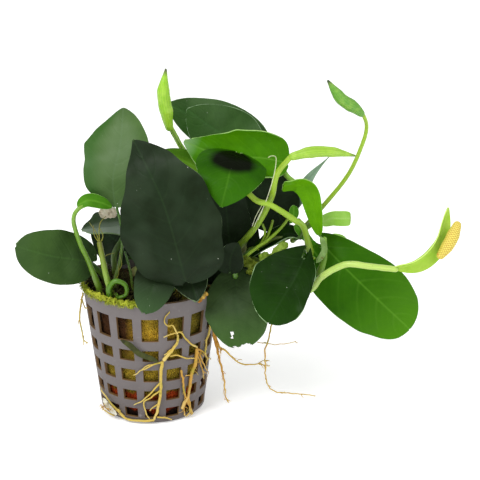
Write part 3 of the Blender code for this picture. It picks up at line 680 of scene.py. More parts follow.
def leafMaterial(name, look, side):
    # the cuticle's soft gloss over mottled green, with sunk veins; young blades let light through
    material, tree, shader, place = newMaterial(name, {"Specular IOR Level": look["gloss"],
                "Coat Weight": look["coat"], "Coat Roughness": 0.25})
    uv = addNode(tree, "SeparateXYZ", {0: addNode(tree, "UVMap", get="UV")}, None)
    along, across = uv.outputs["X"], uv.outputs["Y"]
    away = addNode(tree, "Math", {0: addNode(tree, "Math", {0: across, 1: 2.0, 2: -1.0},
                    operation="MULTIPLY_ADD")}, operation="ABSOLUTE")
    rib = addNode(tree, "Attribute", get="Fac", attribute_name="ribAway")
    mottle = blotches(tree, place, 140, [(0.3, 0.0), (0.7, 1.0)], 4, 0.6)
    colour = addNode(tree, "Mix", {0: mottle, 6: look["deep"], 7: look["light"]}, 2, data_type="RGBA")
    if side == "under":
        colour = addNode(tree, "Mix", {0: mottle, 6: look["under"],
                    7: addNode(tree, "Mix", {0: 0.7, 6: look["under"], 7: look["light"]}, 2,
                        data_type="RGBA")}, 2, data_type="RGBA")
    else:
        for amount, tint in (
                (addNode(tree, "ValToRGB", {0: across}, stops=[(look["sideFrom"], look["sideAmount"]),
                                (look["sideTo"], 0.0)]), look["side"]),
                (addNode(tree, "ValToRGB", {0: along}, stops=[(look["tipFrom"], 0.0),
                                (1.0, look["tipAmount"])]), look["tip"])):
            colour = addNode(tree, "Mix", {0: amount, 6: colour, 7: tint}, 2, data_type="RGBA")
        # painted sheen: a paler grey-green sheen painted across the middle of the blade
        if look["paintedMiddleSheenAmount"]:
            paintedMiddleSheen = addNode(tree, "Math",
                    {0: addNode(tree, "ValToRGB", {0: away}, stops=[(0.3, look["paintedMiddleSheenAmount"]), (0.8, 0.0)]),
                     1: addNode(tree, "ValToRGB", {0: along}, stops=[(0.2, 0.0), (0.45, 1.0), (0.8, 1.0),
                                (0.96, 0.1)])}, operation="MULTIPLY")
            colour = addNode(tree, "Mix", {0: paintedMiddleSheen, 6: colour, 7: look["paintedMiddleSheen"]}, 2, data_type="RGBA")
        # painted sheen: soft paler patches of reflected light laid over the upper side
        paintedSheen = blotches(tree, place, 62, [(0.5, 0.0), (0.72, look["paintedSheenAmount"])], 2, 0.4)
        colour = addNode(tree, "Mix", {0: paintedSheen, 6: colour, 7: look["paintedSheen"]}, 2, data_type="RGBA")
    arch = addNode(tree, "Math", {0: addNode(tree, "Math", {0: away, 1: 1.3}, operation="POWER"), 1: -0.3},
            operation="MULTIPLY")
    phase = addNode(tree, "Math", {0: addNode(tree, "Math", {0: along, 1: arch}, operation="ADD"),
                1: float(look["veins"])}, operation="MULTIPLY")
    line = addNode(tree, "Math", {0: phase, 1: 0.5}, operation="PINGPONG")
    veins = addNode(tree, "ValToRGB", {0: line}, stops=[(0.0, 1.0), (0.09, 0.0)])
    fine = addNode(tree, "ValToRGB",
            {0: addNode(tree, "Math", {0: addNode(tree, "Math", {0: phase, 1: 3.0}, operation="MULTIPLY"),
                        1: 0.5}, operation="PINGPONG")}, stops=[(0.0, 0.25), (0.2, 0.0)])
    veins = addNode(tree, "Math", {0: addNode(tree, "Math", {0: veins, 1: fine}, operation="MAXIMUM"),
                1: addNode(tree, "ValToRGB", {0: away}, stops=[(0.0, 1.0), (0.85, 0.35)])},
            operation="MULTIPLY")
    ribLine = addNode(tree, "ValToRGB", {0: addNode(tree, "Math", {0: rib, 1: 0.5}, operation="MULTIPLY")},
            stops=[(0.0, 1.0), (0.28, 0.0)])
    for amount, tint in (
            (addNode(tree, "Math", {0: veins, 1: look["veinAmount"]}, operation="MULTIPLY"), look["vein"]),
            (addNode(tree, "Math", {0: ribLine, 1: look["ribAmount"]}, operation="MULTIPLY"), look["rib"])):
        colour = addNode(tree, "Mix", {0: amount, 6: colour, 7: tint}, 2, data_type="RGBA")
    # painted shade: a near-black arc over the base of the blade, where the leaf above shades it
    if look["footShade"]:
        arc = addNode(tree, "Math", {0: addNode(tree, "Math", {0: away, 1: 2.0}, operation="POWER"), 1: 0.32,
                    2: along}, operation="MULTIPLY_ADD")
        deepShade = addNode(tree, "Math",
                {0: addNode(tree, "ValToRGB", {0: arc}, stops=[(0.43, look["footShade"]), (0.54, 0.0)]),
                 1: addNode(tree, "ValToRGB", {0: away}, stops=[(0.5, 1.0), (0.78, 0.0)])},
                operation="MULTIPLY")
        colour = addNode(tree, "Mix", {0: deepShade, 6: colour, 7: "#070d02"}, 2, data_type="RGBA")
    # painted shade: the upper side goes near black along the middle of the rib, in the dark hollow between
    # this blade and the hanging leaf
    if look["hollow"] and side == "top":
        depth = addNode(tree, "Math",
                {0: addNode(tree, "ValToRGB", {0: away}, stops=[(0.04, look["hollow"]), (0.22, 0.0)]),
                 1: addNode(tree, "ValToRGB", {0: along}, stops=[(0.36, 0.0), (0.48, 1.0), (0.68, 1.0),
                            (0.8, 0.1)])}, operation="MULTIPLY")
        colour = addNode(tree, "Mix", {0: depth, 6: colour, 7: "#070d02"}, 2, data_type="RGBA")
    cell = addNode(tree, "TexVoronoi", {"Scale": 520, "Vector": place}, "Distance")
    speck = addNode(tree, "Math", {0: addNode(tree, "ValToRGB", {0: cell}, stops=[(0.05, 1.0), (0.1, 0.0)]),
                1: blotches(tree, place, 260, [(0.6, 0.0), (0.66, look["specks"])], 2)},
            operation="MULTIPLY")
    if side == "top":  # dried lime spots
        colour = addNode(tree, "Mix", {0: speck, 6: colour, 7: "#c9cfc0"}, 2, data_type="RGBA")
    tree.links.new(colour, shader.inputs["Base Color"])
    wear = addNode(tree, "TexNoise", {"Vector": place, "Scale": 180, "Detail": 4, "Roughness": 0.55})
    tree.links.new(addNode(tree, "ValToRGB", {0: wear}, stops=[(0.3, look["rough"] - 0.06),
                    (0.7, look["rough"] + 0.12)]), shader.inputs["Roughness"])
    pores = addNode(tree, "TexNoise", {"Vector": place, "Scale": 2200, "Detail": 2,
                "Roughness": 0.55})
    relief = addNode(tree, "Math", {0: addNode(tree, "Math", {0: veins, 1: -1.0}, operation="MULTIPLY"),
                1: addNode(tree, "Math", {0: pores, 1: 0.25}, operation="MULTIPLY")}, operation="ADD")
    tree.links.new(addNode(tree, "Bump", {"Height": relief, "Distance": 0.00012, "Strength": 0.5}),
            shader.inputs["Normal"])
    if look["through"]:
        letThrough(tree, shader, colour, look["through"])
    return material


def marginMaterial(name, look):
    # the blade's rim, paler than its face
    material, tree, shader, place = newMaterial(name, {"Roughness": 0.5})
    tree.links.new(addNode(tree, "Mix",
                {0: addNode(tree, "TexNoise", {"Vector": place, "Scale": 400, "Detail": 3,
                            "Roughness": 0.55}), 6: look["margin"], 7: look["light"]}, 2, data_type="RGBA"),
            shader.inputs["Base Color"])
    return material


leafMaterials = {name: [leafMaterial(name + "LeafUpperSide", look, "top"),
            leafMaterial(name + "LeafUnderside", look, "under"), marginMaterial(name + "LeafMargin", look)]
        for name, look in leafLooks.items()}


def snakeName(name):
    # frontLeaf becomes front_leaf
    return "".join("_" + letter.lower() if letter.isupper() else letter for letter in name)


def tornMask(uv):
    # cells that stay: all but an oval hole and the ragged, bitten end
    along, across = uv[..., 0], uv[..., 1] * 2 - 1
    edge = 0.965 + 0.012 * np.sin(9 * across) + 0.006 * np.sin(23 * across
            + 1) - 0.05 * np.exp(-((across + 0.5) / 0.25) ** 2)
    tear = across - 0.32 - 0.8 * (along - 0.8)
    hole = ((along - 0.8) / 0.055) ** 2 + (tear / (0.07 + 0.03 * np.sin(60 * along))) ** 2 < 1
    return (along < edge) & ~hole


def makeLeaf(name, v, build):
    # the sheet gets its thickness from a modifier, thicker along the rib, with its own underside and rim
    points, uv, ribAway = leafSheet(v, build)
    rows, columns = points.shape[:2]
    quads = gridFaces(rows, columns, False)
    if v["look"] == "bitten":
        centre = uv.reshape(-1, 2)[quads].mean(1)
        quads = quads[tornMask(centre)]
    small = min(1.0, v["width"] / 14)
    mesh = meshFromArrays(name, points.reshape(-1, 3), quads, uv=uv.reshape(-1, 2),
            layers={"ribAway": ribAway})
    slot = dict(spathe="flower", paleYoung="flower").get(v["look"],
            "bright_leaf" if leafLooks[v["look"]]["through"] else "dark_leaf")
    looks = leafMaterials[v["look"]]
    node = snakeName(name)
    piece = addPiece(name, mesh, looks[0], slot, *([node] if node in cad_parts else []))
    mesh.materials.append(looks[1])
    mesh.materials.append(looks[2])
    thick = piece.vertex_groups.new(name="rib")
    weight = build["thickness"] / build["ribThickness"]
    weight = weight + (1 - weight) * np.exp(-(ribAway.ravel() / 0.9) ** 2)
    steps = np.round(weight * 20) / 20
    for level in np.unique(steps):
        thick.add(np.nonzero(steps == level)[0].tolist(), float(level), "REPLACE")
    skin = piece.modifiers.new("thickness", "SOLIDIFY")
    skin.thickness = build["ribThickness"] * small * mm
    skin.offset = -0.5
    skin.vertex_group = "rib"
    skin.material_offset = 1
    skin.material_offset_rim = 2
    return piece


for leafName, leafValue in leafValues.items():
    makeLeaf(leafName, leafValue, leafBuild)
print("leaves ready")

# stalks: fleshy petioles and flower stalks, grooved along one side, wider at a sheathing foot. Each has
# points along the middle, radius at the foot and the end, the look, and how much the foot swells
stalkValues = {
    "frontPetiole": ([(25, -8, 62), (22, -13, 65), (18, -20, 65), (14, -26.5, 62)], 1.3, 1.1, "darkStalk",
            0.2),
    "upperLeftPetiole": ([(-18, -12, 50), (-22, -14, 63), (-25, -15, 71), (-27, -16, 80), (-25, -15.5, 84.5),
                (-20, -13, 86)], 1.15, 0.75, "brightStalk", 0.3),
    "leftPetiole": ([(-15, -4, 48), (-18, -5, 55), (-23, -8.5, 61.5)], 1.3, 1.0, "darkStalk", 0.2),
    "greyPetiole": ([(-13, 3, 48), (-14, 4, 59), (-11, 6, 65), (-9, 6, 71.5)], 1.3, 1.0, "darkStalk", 0.2),
    "tornPetiole": ([(33, -6, 65), (33, -10, 63), (32, -12, 60), (32, -12.5, 56)], 1.2, 1.0, "midStalk", 0.2),
    "glossyPetiole": ([(35, -6, 62), (44, -12, 62), (51, -13, 63.5), (57, -17, 66)], 1.2, 0.9, "darkStalk",
            0.2),
    "brightPetiole": ([(34, -2, 62), (48, 0, 55.5), (58, 0, 59.5), (66, -2, 65)], 1.2, 0.9, "brightStalk",
            0.2),
    "hangingPetiole": ([(60, -9, 64), (57, -15, 77), (53, -20, 82), (45, -22, 88), (39, -21, 90),
                (32, -17, 97)], 1.2, 1.0, "limeStalk", 0.3),
    "troughPetiole": ([(36, -3, 63), (52, -2, 69), (61.5, -4, 76), (61.2, -5, 83), (57, -4, 88), (51, -3, 93),
                (49, -2, 97)], 1.2, 1.0, "brightStalk", 0.2),
    "backLeftPetiole": ([(34, 0, 64), (43, 11, 79), (45, 16, 91), (41, 17, 98)], 1.3, 1.0, "midStalk", 0.2),
    "backRightPetiole": ([(31, 0, 64), (36, 10, 78), (40, 12, 90), (38, 8.5, 98)], 1.3, 1.0, "midStalk", 0.2),
    "darkBackPetiole": ([(35, -3, 65), (34, 4, 75), (35, 7, 81), (37.5, 7, 88.5)], 1.2, 1.0, "midStalk", 0.2),
    "strapPetiole": ([(63, -10, 56), (65, -9, 63), (65, -8, 71)], 1.3, 0.95, "brightStalk", 0.2),
    "cutPetiole": ([(-13, -16, 48), (-16, -15.5, 60), (-18, -14, 71.5)], 1.25, 1.0, "cutStalk", 0.2),
    "coiledShoot": ([(-14, -18.5, 50), (-14.5, -18.5, 54.5), (-12, -18.5, 57.4), (-8.4, -19, 56),
                (-8.2, -19.6, 52.6), (-11, -20, 51.6), (-12, -20, 53.4)], 1.15, 0.7, "shootStalk", 0.1),
    "openFlowerStalk": ([(49, -10, 53), (59, -14, 52), (64, -20, 60), (72, -24, 66), (81, -26, 66),
                (91, -26.5, 65)], 1.35, 1.1, "flowerStalk", 0.2),
    "tallFlowerStalk": ([(53, 5, 64), (65, 4, 79), (74, 2, 92), (79, 0, 105), (80, -2, 112),
                (78.5, -4.5, 117)], 0.95, 0.72, "limeStalk", 0.2),
    "levelFlowerStalk": ([(32, -4, 64), (40, -12, 77), (45, -17, 89), (47, -20, 99), (52, -22, 106.5)], 1.25,
            1.05, "limeStalk", 0.2),
    "uprightFlowerStalk": ([(22, 2, 65), (19, 9, 81), (14, 9, 96), (11, 6, 103), (8, -2.3, 112)], 1.1, 1.0,
            "paleStalk", 0.2),
}
stalkBuild = dict(ringStep=0.45, sides=18, groove=0.14, grooveWidth=0.5, ribs=7, ribDepth=0.018,
        footLength=6.0, wobble=0.05)
# foot, middle and end colours of each kind of stalk, and the colour of its streaks
stalkLooks = {
    "brightStalk": ("#54701a", "#628a24", "#78a432", "#4a6416"),
    "midStalk": ("#4a6418", "#4f7820", "#5c8c2c", "#34521a"),
    "darkStalk": ("#4c5a14", "#46601a", "#406824", "#303e10"),
    "limeStalk": ("#5f7a14", "#86a824", "#98b830", "#6f8c1c"),
    "cutStalk": ("#6c8c24", "#84a43c", "#6f6c28", "#5c7820"),
    "paleStalk": ("#7aa630", "#8cba44", "#a0c858", "#688f2c"),
    "shootStalk": ("#46700e", "#4e7a12", "#5c881c", "#3a5e0c"),
    "flowerStalk": ("#7a9a34", "#a8c264", "#b0c864", "#8aa844"),
}


def stalkMaterial(name, look):
    # smooth fleshy skin with lengthwise streaks and small lenticels
    material, tree, shader, place = newMaterial(name, {"Roughness": 0.36, "Specular IOR Level": 0.4,
                "Subsurface Weight": 0.15, "Subsurface Radius": (0.0012, 0.002, 0.0006),
                "Subsurface Scale": 1.0})
    uv = addNode(tree, "SeparateXYZ", {0: addNode(tree, "UVMap", get="UV")}, None)
    colour = addNode(tree, "ValToRGB", {0: uv.outputs["X"]}, stops=[(0.0, look[0]), (0.4, look[1]),
                (1.0, look[2])])
    streak = addNode(tree, "TexNoise",
            {"Vector": addNode(tree, "CombineXYZ", {0: addNode(tree, "Math", {0: uv.outputs["X"], 1: 3.0},
                            operation="MULTIPLY"), 1: addNode(tree, "Math", {0: uv.outputs["Y"], 1: 14.0},
                            operation="MULTIPLY")}), "Scale": 2, "Detail": 3, "Roughness": 0.55})
    colour = addNode(tree, "Mix",
            {0: addNode(tree, "ValToRGB", {0: streak}, stops=[(0.42, 0.0), (0.7, 0.75)]), 6: colour,
             7: look[3]}, 2, data_type="RGBA")
    spot = blotches(tree, place, 900, [(0.66, 0.0), (0.74, 0.6)])
    tree.links.new(addNode(tree, "Mix", {0: spot, 6: colour, 7: "#6b5a22"}, 2, data_type="RGBA"),
            shader.inputs["Base Color"])
    tree.links.new(addNode(tree, "Bump",
                {"Height": addNode(tree, "Math",
                        {0: streak, 1: addNode(tree, "TexNoise", {"Vector": place, "Scale": 1300,
                                    "Detail": 3, "Roughness": 0.55})}, operation="ADD"), "Distance": 0.0001,
                 "Strength": 0.5}), shader.inputs["Normal"])
    return material


stalkMaterials = {name: stalkMaterial(name + "Skin", look) for name, look in stalkLooks.items()}


def endRounding(path, radii):
    # radii close to zero over the last radius of length, as the end of a ball does
    length = np.concatenate([[0], np.cumsum(np.linalg.norm(np.diff(path, axis=0), axis=1))])
    for away in (length, length[-1] - length):
        share = np.clip(away / np.maximum(radii, 0.05), 0, 1)
        radii = radii * np.sqrt(np.clip(1 - (1 - share) ** 2, 0.0025, 1))
    return radii


def endDense(count, radiusShare):
    # even places with extra ones near both ends, where the tube rounds off
    extra = radiusShare * np.array([0.0, 0.04, 0.15, 0.35, 0.65])
    middle = np.linspace(radiusShare, 1 - radiusShare, count)
    return np.concatenate([extra, middle, 1 - extra[::-1]])


def fleshyTube(points, radiusAt, build, seed):
    # a circle carried along the path: its radius has a groove, low ribs and a little wobble
    rough = smoothPath(points, np.linspace(0, 1, 60))
    length = np.linalg.norm(np.diff(rough, axis=0), axis=1).sum()
    places = endDense(max(8, int(length / build["ringStep"])), min(0.2, float(radiusAt(np.array([0.5]))[0])
                / length))
    path = smoothPath(points, places)
    radii = endRounding(path, radiusAt(places))
    turn = 2 * pi * np.arange(build["sides"]) / build["sides"]
    dent = build["groove"] * np.exp(-((turn - pi) / build["grooveWidth"]) ** 2)
    section = 1 - dent + build["ribDepth"] * np.cos(build["ribs"] * turn)
    direction = circleAround(path, turn)
    reach = radii[:, None] * section * (1 + build["wobble"] * waveNoise(path[:, None] + direction * 2, seed,
                4.0))
    rings = path[:, None] + direction * reach[..., None]
    points, quads, triangles = closedTube(rings)
    uv = np.stack(np.broadcast_arrays(places[:, None], (np.arange(build["sides"]) / build["sides"])[None, :]),
            -1)
    uv = np.vstack([uv.reshape(-1, 2), [[0, 0.5], [1, 0.5]]])
    return points, quads, triangles, uv, {}


def makeStalk(name, entry, seed):
    # the radius runs evenly from foot to end, and swells near the foot as a bell curve does
    points, start, end, look, foot = entry
    length = np.linalg.norm(np.diff(np.array(points, float), axis=0), axis=1).sum()

    def radiusAt(place):
        return (start + (end - start) * place) * (1 + foot
                * np.exp(-(place * length / stalkBuild["footLength"]) ** 2))

    mesh = meshFromArrays(name, *fleshyTube(points, radiusAt, stalkBuild, seed))
    slot = "flower" if "Flower" in name else "stalk"
    addPiece(name, mesh, stalkMaterials[look], slot, snakeName(name))


for number, (stalkName, stalkEntry) in enumerate(stalkValues.items()):
    makeStalk(stalkName, stalkEntry, number)
print("stalks ready")

# closed spathes and the spadix: points along the middle, with the radius at each
budValues = {
    "tallSpathe": ([(78.6, -4.3, 116.5), (75, -6, 120), (70, -8, 124), (65, -9, 131)], [1.2, 2.3, 2.0, 0.35]),
    "levelSpathe": ([(51, -22, 106), (59, -22, 108), (67, -22, 108), (75, -20, 106)], [1.3, 2.0, 1.7, 0.3]),
    "uprightSpathe": ([(8, -2, 110), (7, -3, 117), (6, -4, 125), (7, -4, 134)], [1.3, 2.4, 2.2, 0.3]),
}
budBuild = dict(ringStep=0.3, sides=28, groove=0.2, grooveWidth=0.3, ribs=9, ribDepth=0.014, wobble=0.04)
spadixValues = dict(points=[(105, -28.5, 70), (109, -28.5, 76.5), (112, -26.5, 83.5)],
        radii=[1.2, 2.2, 2.3, 1.2], rows=90, sides=72, bumpRows=19, bumpCount=9, bumpHeight=0.22)
# body, tip and streak colours
budLooks = {"tallSpathe": ("#5c9424", "#24380e", "#47801c"), "levelSpathe": ("#8cb42c", "#5c7a1c", "#749c20"),
        "uprightSpathe": ("#88b818", "#3c4a12", "#6c9c12")}


def budMaterial(name, look):
    # waxy rolled leaf with fine ribs, its tip dried dark
    material, tree, shader, place = newMaterial(name + "Skin", {"Roughness": 0.4, "Subsurface Weight": 0.15,
                "Subsurface Radius": (0.0015, 0.002, 0.0006), "Subsurface Scale": 1.0})
    uv = addNode(tree, "SeparateXYZ", {0: addNode(tree, "UVMap", get="UV")}, None)
    streaks = addNode(tree, "Math", {0: addNode(tree, "Math", {0: uv.outputs["Y"], 1: 16.0},
                    operation="MULTIPLY"), 1: 0.5}, operation="PINGPONG")
    colour = addNode(tree, "Mix",
            {0: addNode(tree, "ValToRGB", {0: streaks}, stops=[(0.0, 0.6), (0.35, 0.0)]), 6: look[0],
             7: look[2]}, 2, data_type="RGBA")
    for amount, tint in (
            (blotches(tree, place, 260, [(0.45, 0.0), (0.8, 0.5)]), "#b8d45c"),
            (addNode(tree, "ValToRGB", {0: uv.outputs["X"]}, stops=[(0.88, 0.0), (0.97, 0.95)]), look[1])):
        colour = addNode(tree, "Mix", {0: amount, 6: colour, 7: tint}, 2, data_type="RGBA")
    tree.links.new(colour, shader.inputs["Base Color"])
    tree.links.new(addNode(tree, "Bump",
                {"Height": addNode(tree, "Math",
                        {0: streaks, 1: addNode(tree, "TexNoise", {"Vector": place, "Scale": 900,
                                    "Detail": 3, "Roughness": 0.55})}, operation="ADD"), "Distance": 0.00015,
                 "Strength": 0.6}), shader.inputs["Normal"])
    return material


def makeBud(name, entry, seed):
    # the radii are spaced evenly along the bud, with a slight belly
    points, radii = entry

    def radiusAt(place):
        return np.interp(place, np.linspace(0, 1, len(radii)), radii) * (1 + 0.06 * np.sin(pi * place))

    mesh = meshFromArrays(name, *fleshyTube(points, radiusAt, budBuild, seed))
    addPiece(name, mesh, budMaterial(name, budLooks[name]), "flower", snakeName(name))


def makeSpadix(v):
    # a rod covered with bumps in a spiral: each bump is where two families of crossing spirals peak together
    places = np.linspace(0, 1, v["rows"])
    path = smoothPath(v["points"], places)
    radii = endRounding(path, np.interp(places, np.linspace(0, 1, len(v["radii"])), v["radii"]))
    turn = 2 * pi * np.arange(v["sides"]) / v["sides"]
    first = np.cos(pi * v["bumpRows"] * places[:, None] + v["bumpCount"] / 2 * turn)
    second = np.cos(pi * v["bumpRows"] * places[:, None] - v["bumpCount"] / 2 * turn)
    bumps = np.abs(first * second) ** 0.6
    direction = circleAround(path, turn)
    rings = path[:, None] + direction * (radii[:, None] + v["bumpHeight"] * (bumps - 0.5)
            * (radii[:, None] > 0.3))[..., None]
    points, quads, triangles = closedTube(rings)
    bumpLayer = np.concatenate([bumps.ravel(), [1, 1]])
    # pale yellow knobs, orange-brown in the cracks
    material, tree, shader, place = newMaterial("ripe spadix florets", {"Roughness": 0.6})
    high = addNode(tree, "Attribute", get="Fac", attribute_name="knob")
    colour = addNode(tree, "ValToRGB", {0: high}, stops=[(0.0, "#7a4a10"), (0.3, "#b89434"), (0.6, "#d2c450"),
                (1.0, "#d8cf66")])
    dirt = blotches(tree, place, 700, [(0.62, 0.0), (0.72, 0.8)])
    tree.links.new(addNode(tree, "Mix", {0: dirt, 6: colour, 7: "#b9701c"}, 2, data_type="RGBA"),
            shader.inputs["Base Color"])
    mesh = meshFromArrays("spadixKnobs", points, quads, triangles, layers={"knob": bumpLayer})
    addPiece("spadixKnobs", mesh, material, "spadix", "spadix")


for number, (budName, budEntry) in enumerate(budValues.items()):
    makeBud(budName, budEntry, 40 + number)
makeSpadix(spadixValues)
print("flowers ready")

# rhizome: a creeping green-brown stem, ringed where old leaves fell
rhizomeValues = dict(path=[(-8, 0, 53), (6, 0, 54), (18, -2, 58), (28, -3, 62), (36, -4, 66)],
        radii=[3.2, 3.8, 4.0, 3.8, 2.6], sides=40, scars=13, scarDepth=0.28)


def makeRhizome(v):
    # a tube whose radius rises in a row of narrow rings, with soft lumps
    places = endDense(150, 0.05)
    path = smoothPath(v["path"], places)
    radii = endRounding(path, np.interp(places, np.linspace(0, 1, len(v["radii"])), v["radii"]))
    scar = (1 - np.abs(np.cos(pi * v["scars"] * places + 0.6 * np.sin(5 * places)))) ** 4
    turn = 2 * pi * np.arange(v["sides"]) / v["sides"]
    direction = circleAround(path, turn)
    lumps = 0.09 * waveNoise(path[:, None] + direction * 4, 5, 5.0)
    reach = radii[:, None] * (1 + lumps) + (v["scarDepth"] * (scar - 0.5) * (radii > 1))[:, None]
    points, quads, triangles = closedTube(path[:, None] + direction * reach[..., None])
    # dull olive skin, brown in the leaf scars
    material, tree, shader, place = newMaterial("rhizome bark", {"Roughness": 0.62})
    ring = addNode(tree, "Attribute", get="Fac", attribute_name="scar")
    colour = addNode(tree, "Mix",
            {0: addNode(tree, "TexNoise", {"Vector": place, "Scale": 240, "Detail": 4,
                        "Roughness": 0.55}), 6: "#3f4c18", 7: "#6a7428"}, 2, data_type="RGBA")
    tree.links.new(addNode(tree, "Mix", {0: ring, 6: colour, 7: "#4a3216"}, 2, data_type="RGBA"),
            shader.inputs["Base Color"])
    roughen(tree, shader, place, 900, 0.0003, 0.7)
    layer = np.concatenate([np.repeat(scar, v["sides"]), [0, 0]])
    mesh = meshFromArrays("rhizomeStem", points, quads, triangles, layers={"scar": layer})
    addPiece("rhizomeStem", mesh, material, "rhizome", "rhizome")


makeRhizome(rhizomeValues)
print("rhizome ready")

# roots: wiry, tan to orange, lying against the pot or hanging free. Each piece is a list of strands: points,
# radius at the start and the end; warm is how orange the skin is; then how many short rootlets the script
# adds, and their length
rootValues = {
    "frontRoot": dict(warm=0.1, rootlets=5, reach=1.8, strands=[
        ([(8, -25, 48), (6, -25, 45), (7, -25, 42.5), (9, -24, 42), (10.8, -23, 38)], 0.22, 0.32),
        ([(10.8, -23, 38), (10.4, -22.5, 35), (8.2, -23, 31.4), (5, -23.3, 27.5)], 0.45, 0.78),
        ([(5, -23.3, 27.5), (4.3, -23, 23), (4.2, -22, 17), (3.7, -21.5, 11.6), (2.5, -21, 6),
          (1.3, -20.7, 2)], 0.7, 0.52),
        ([(5, -23.2, 27), (1, -23.6, 26), (-1.6, -23.3, 24.3), (-6, -22.3, 21.4)], 0.42, 0.2),
        ([(1.4, -23.6, 26.2), (-1, -23.6, 25.6), (-3.3, -23.1, 23.4)], 0.3, 0.2),
        ([(3.8, -22.2, 18), (0, -22.1, 13.5), (-3, -21.4, 10.3), (-6.2, -20.5, 8.2)], 0.4, 0.2),
        ([(3.8, -21.9, 14.8), (0, -21.8, 11.7), (-2.3, -21.4, 9.5), (-2, -21, 6), (-0.6, -20.7, 2.5)], 0.38,
         0.25),
        ([(3.3, -21.2, 9.2), (1, -21.3, 7.8), (-0.1, -21.2, 6.3)], 0.3, 0.2),
        ([(8.6, -22.8, 32.2), (5.6, -23.5, 30)], 0.3, 0.2)]),
    "baseRoot": dict(warm=0.15, rootlets=7, reach=2.4, strands=[
        ([(1.5, -20.5, 2), (-4, -20.2, 1.6), (-9.5, -18.2, 1.6), (-12.2, -16.9, 3.6), (-15, -15, 6),
          (-17.3, -12.5, 8),
          (-19.4, -9.4, 9.3)], 0.58, 0.3),
        ([(-10, -18, 2), (-12.5, -16.8, 4.2), (-15.3, -14.3, 4.9), (-18.4, -10, 3.6)], 0.4, 0.2),
        ([(2.4, -20.7, 3.3), (5.4, -20, 2.6), (8, -19, 1.3)], 0.4, 0.25),
        ([(-14, -15.5, 1.4), (-17.5, -12.5, 1.6), (-20, -9, 3)], 0.35, 0.2)]),
    "thickRoot": dict(warm=0.6, rootlets=26, reach=4.2, strands=[
        ([(17.6, -16.5, 30), (17.2, -16.2, 26.4), (16.8, -16.1, 23), (15.3, -16.8, 19), (14.8, -16.4, 14.2),
          (14, -16.4, 10),
          (12.5, -17.2, 7.5), (11.8, -17.5, 5)], 0.75, 0.6),
        ([(14, -16.4, 9.6), (14.7, -15.1, 5.7), (15.4, -14, 1.2)], 0.6, 0.45),
        ([(17.6, -15.9, 26.7), (19, -13, 20.9), (20, -10, 14.4)], 0.4, 0.2),
        ([(18, -15.7, 27.8), (19.7, -12.5, 22), (21.1, -8, 17)], 0.42, 0.22),
        ([(17.6, -16.3, 29.3), (19.8, -13, 26.7), (21.5, -8.5, 21.2)], 0.42, 0.22),
        ([(15.6, -16.5, 18.7), (13.4, -18.4, 19.2)], 0.3, 0.22),
        ([(11.7, -20, 22.4), (12.3, -19, 17.8), (12.6, -18, 12.4), (13.7, -16.5, 8.4), (14.7, -15, 3.4),
          (13.2, -15.7, 1)],
         0.45, 0.4),
        ([(13.7, -16.5, 8.4), (12.5, -17, 5.3), (12.8, -16, 1.2)], 0.4, 0.25)]),
    "rightRoot": dict(warm=0.15, rootlets=9, reach=3.0, strands=[
        ([(10.1, -23, 38.7), (12, -22.1, 38.3), (15.1, -19.5, 33), (17.6, -16.8, 30.2)], 0.32, 0.42),
        ([(11.5, -22.5, 38.8), (7.9, -24, 38.6), (5.4, -24.5, 37.7)], 0.35, 0.2),
        ([(7.7, -22.9, 29.3), (10.7, -21.5, 29.1), (13.6, -19.5, 27), (17.2, -16.3, 25.6)], 0.35, 0.28),
        ([(22.8, -11, 41), (22.4, -10.8, 35.4), (21.3, -11.6, 31), (20.5, -12, 25)], 0.5, 0.4),
        ([(20.6, -12, 26), (21.3, -9, 21.5)], 0.45, 0.3)]),
    "outerRoot": dict(warm=0.75, rootlets=24, reach=3.6, strands=[
        ([(24, -9.5, 40), (23.6, -9, 33), (24.4, -9, 29), (25.4, -9, 24.5), (26.5, -9, 19), (27.6, -9, 13.3),
          (28.3, -9, 6.6),
          (29.5, -9, 3.6)], 0.75, 0.22),
        ([(24, -9, 32), (25.5, -9.5, 28), (27, -9.5, 25.6)], 0.7, 0.4)]),
    "branchRoot": dict(warm=0.35, rootlets=10, reach=3.4, strands=[
        ([(25, -9, 27.5), (28.8, -9, 24.9), (31, -8, 22), (34.8, -6, 18.4), (39.8, -5, 18.2),
          (45.2, -4, 16.8)], 0.42, 0.22),
        ([(40.4, -5, 18.2), (42.5, -6, 19.9), (44.5, -6.5, 20.4)], 0.22, 0.15)]),
    "longRoot": dict(warm=0.5, rootlets=6, reach=4.0, strands=[
        ([(46, -16, 41), (44.2, -15, 32.4), (43.1, -14, 27), (43.2, -12, 21), (43.6, -10, 14.6),
          (45.2, -8, 9.5), (48.3, -7, 7.3),
          (56.8, -6, 6), (63, -5.5, 5)], 0.34, 0.22),
        ([(40.1, -16, 32), (45, -16, 31.2), (49.8, -17, 31.7), (54.5, -18, 33)], 0.16, 0.14)]),
    "leftRoot": dict(warm=0.15, rootlets=9, reach=2.6, strands=[
        ([(-25.2, -4.5, 47.4), (-26.3, -5, 43.7), (-26.9, -6, 37.6), (-26.3, -6, 32.7), (-25.6, -6, 28.6),
          (-24, -6, 27.3)],
         0.42, 0.25),
        ([(-25.9, -5, 45), (-24.8, -7, 42.3), (-23.6, -9, 43.3)], 0.3, 0.2),
        ([(-25.8, -5, 30), (-25.8, -6, 26.5)], 0.22, 0.16)]),
}
rootBuild = dict(ringStep=0.35, sides=10, wiggle=0.22, wiggleSize=4.0, lump=0.12, clearance=0.15, slim=0.9)


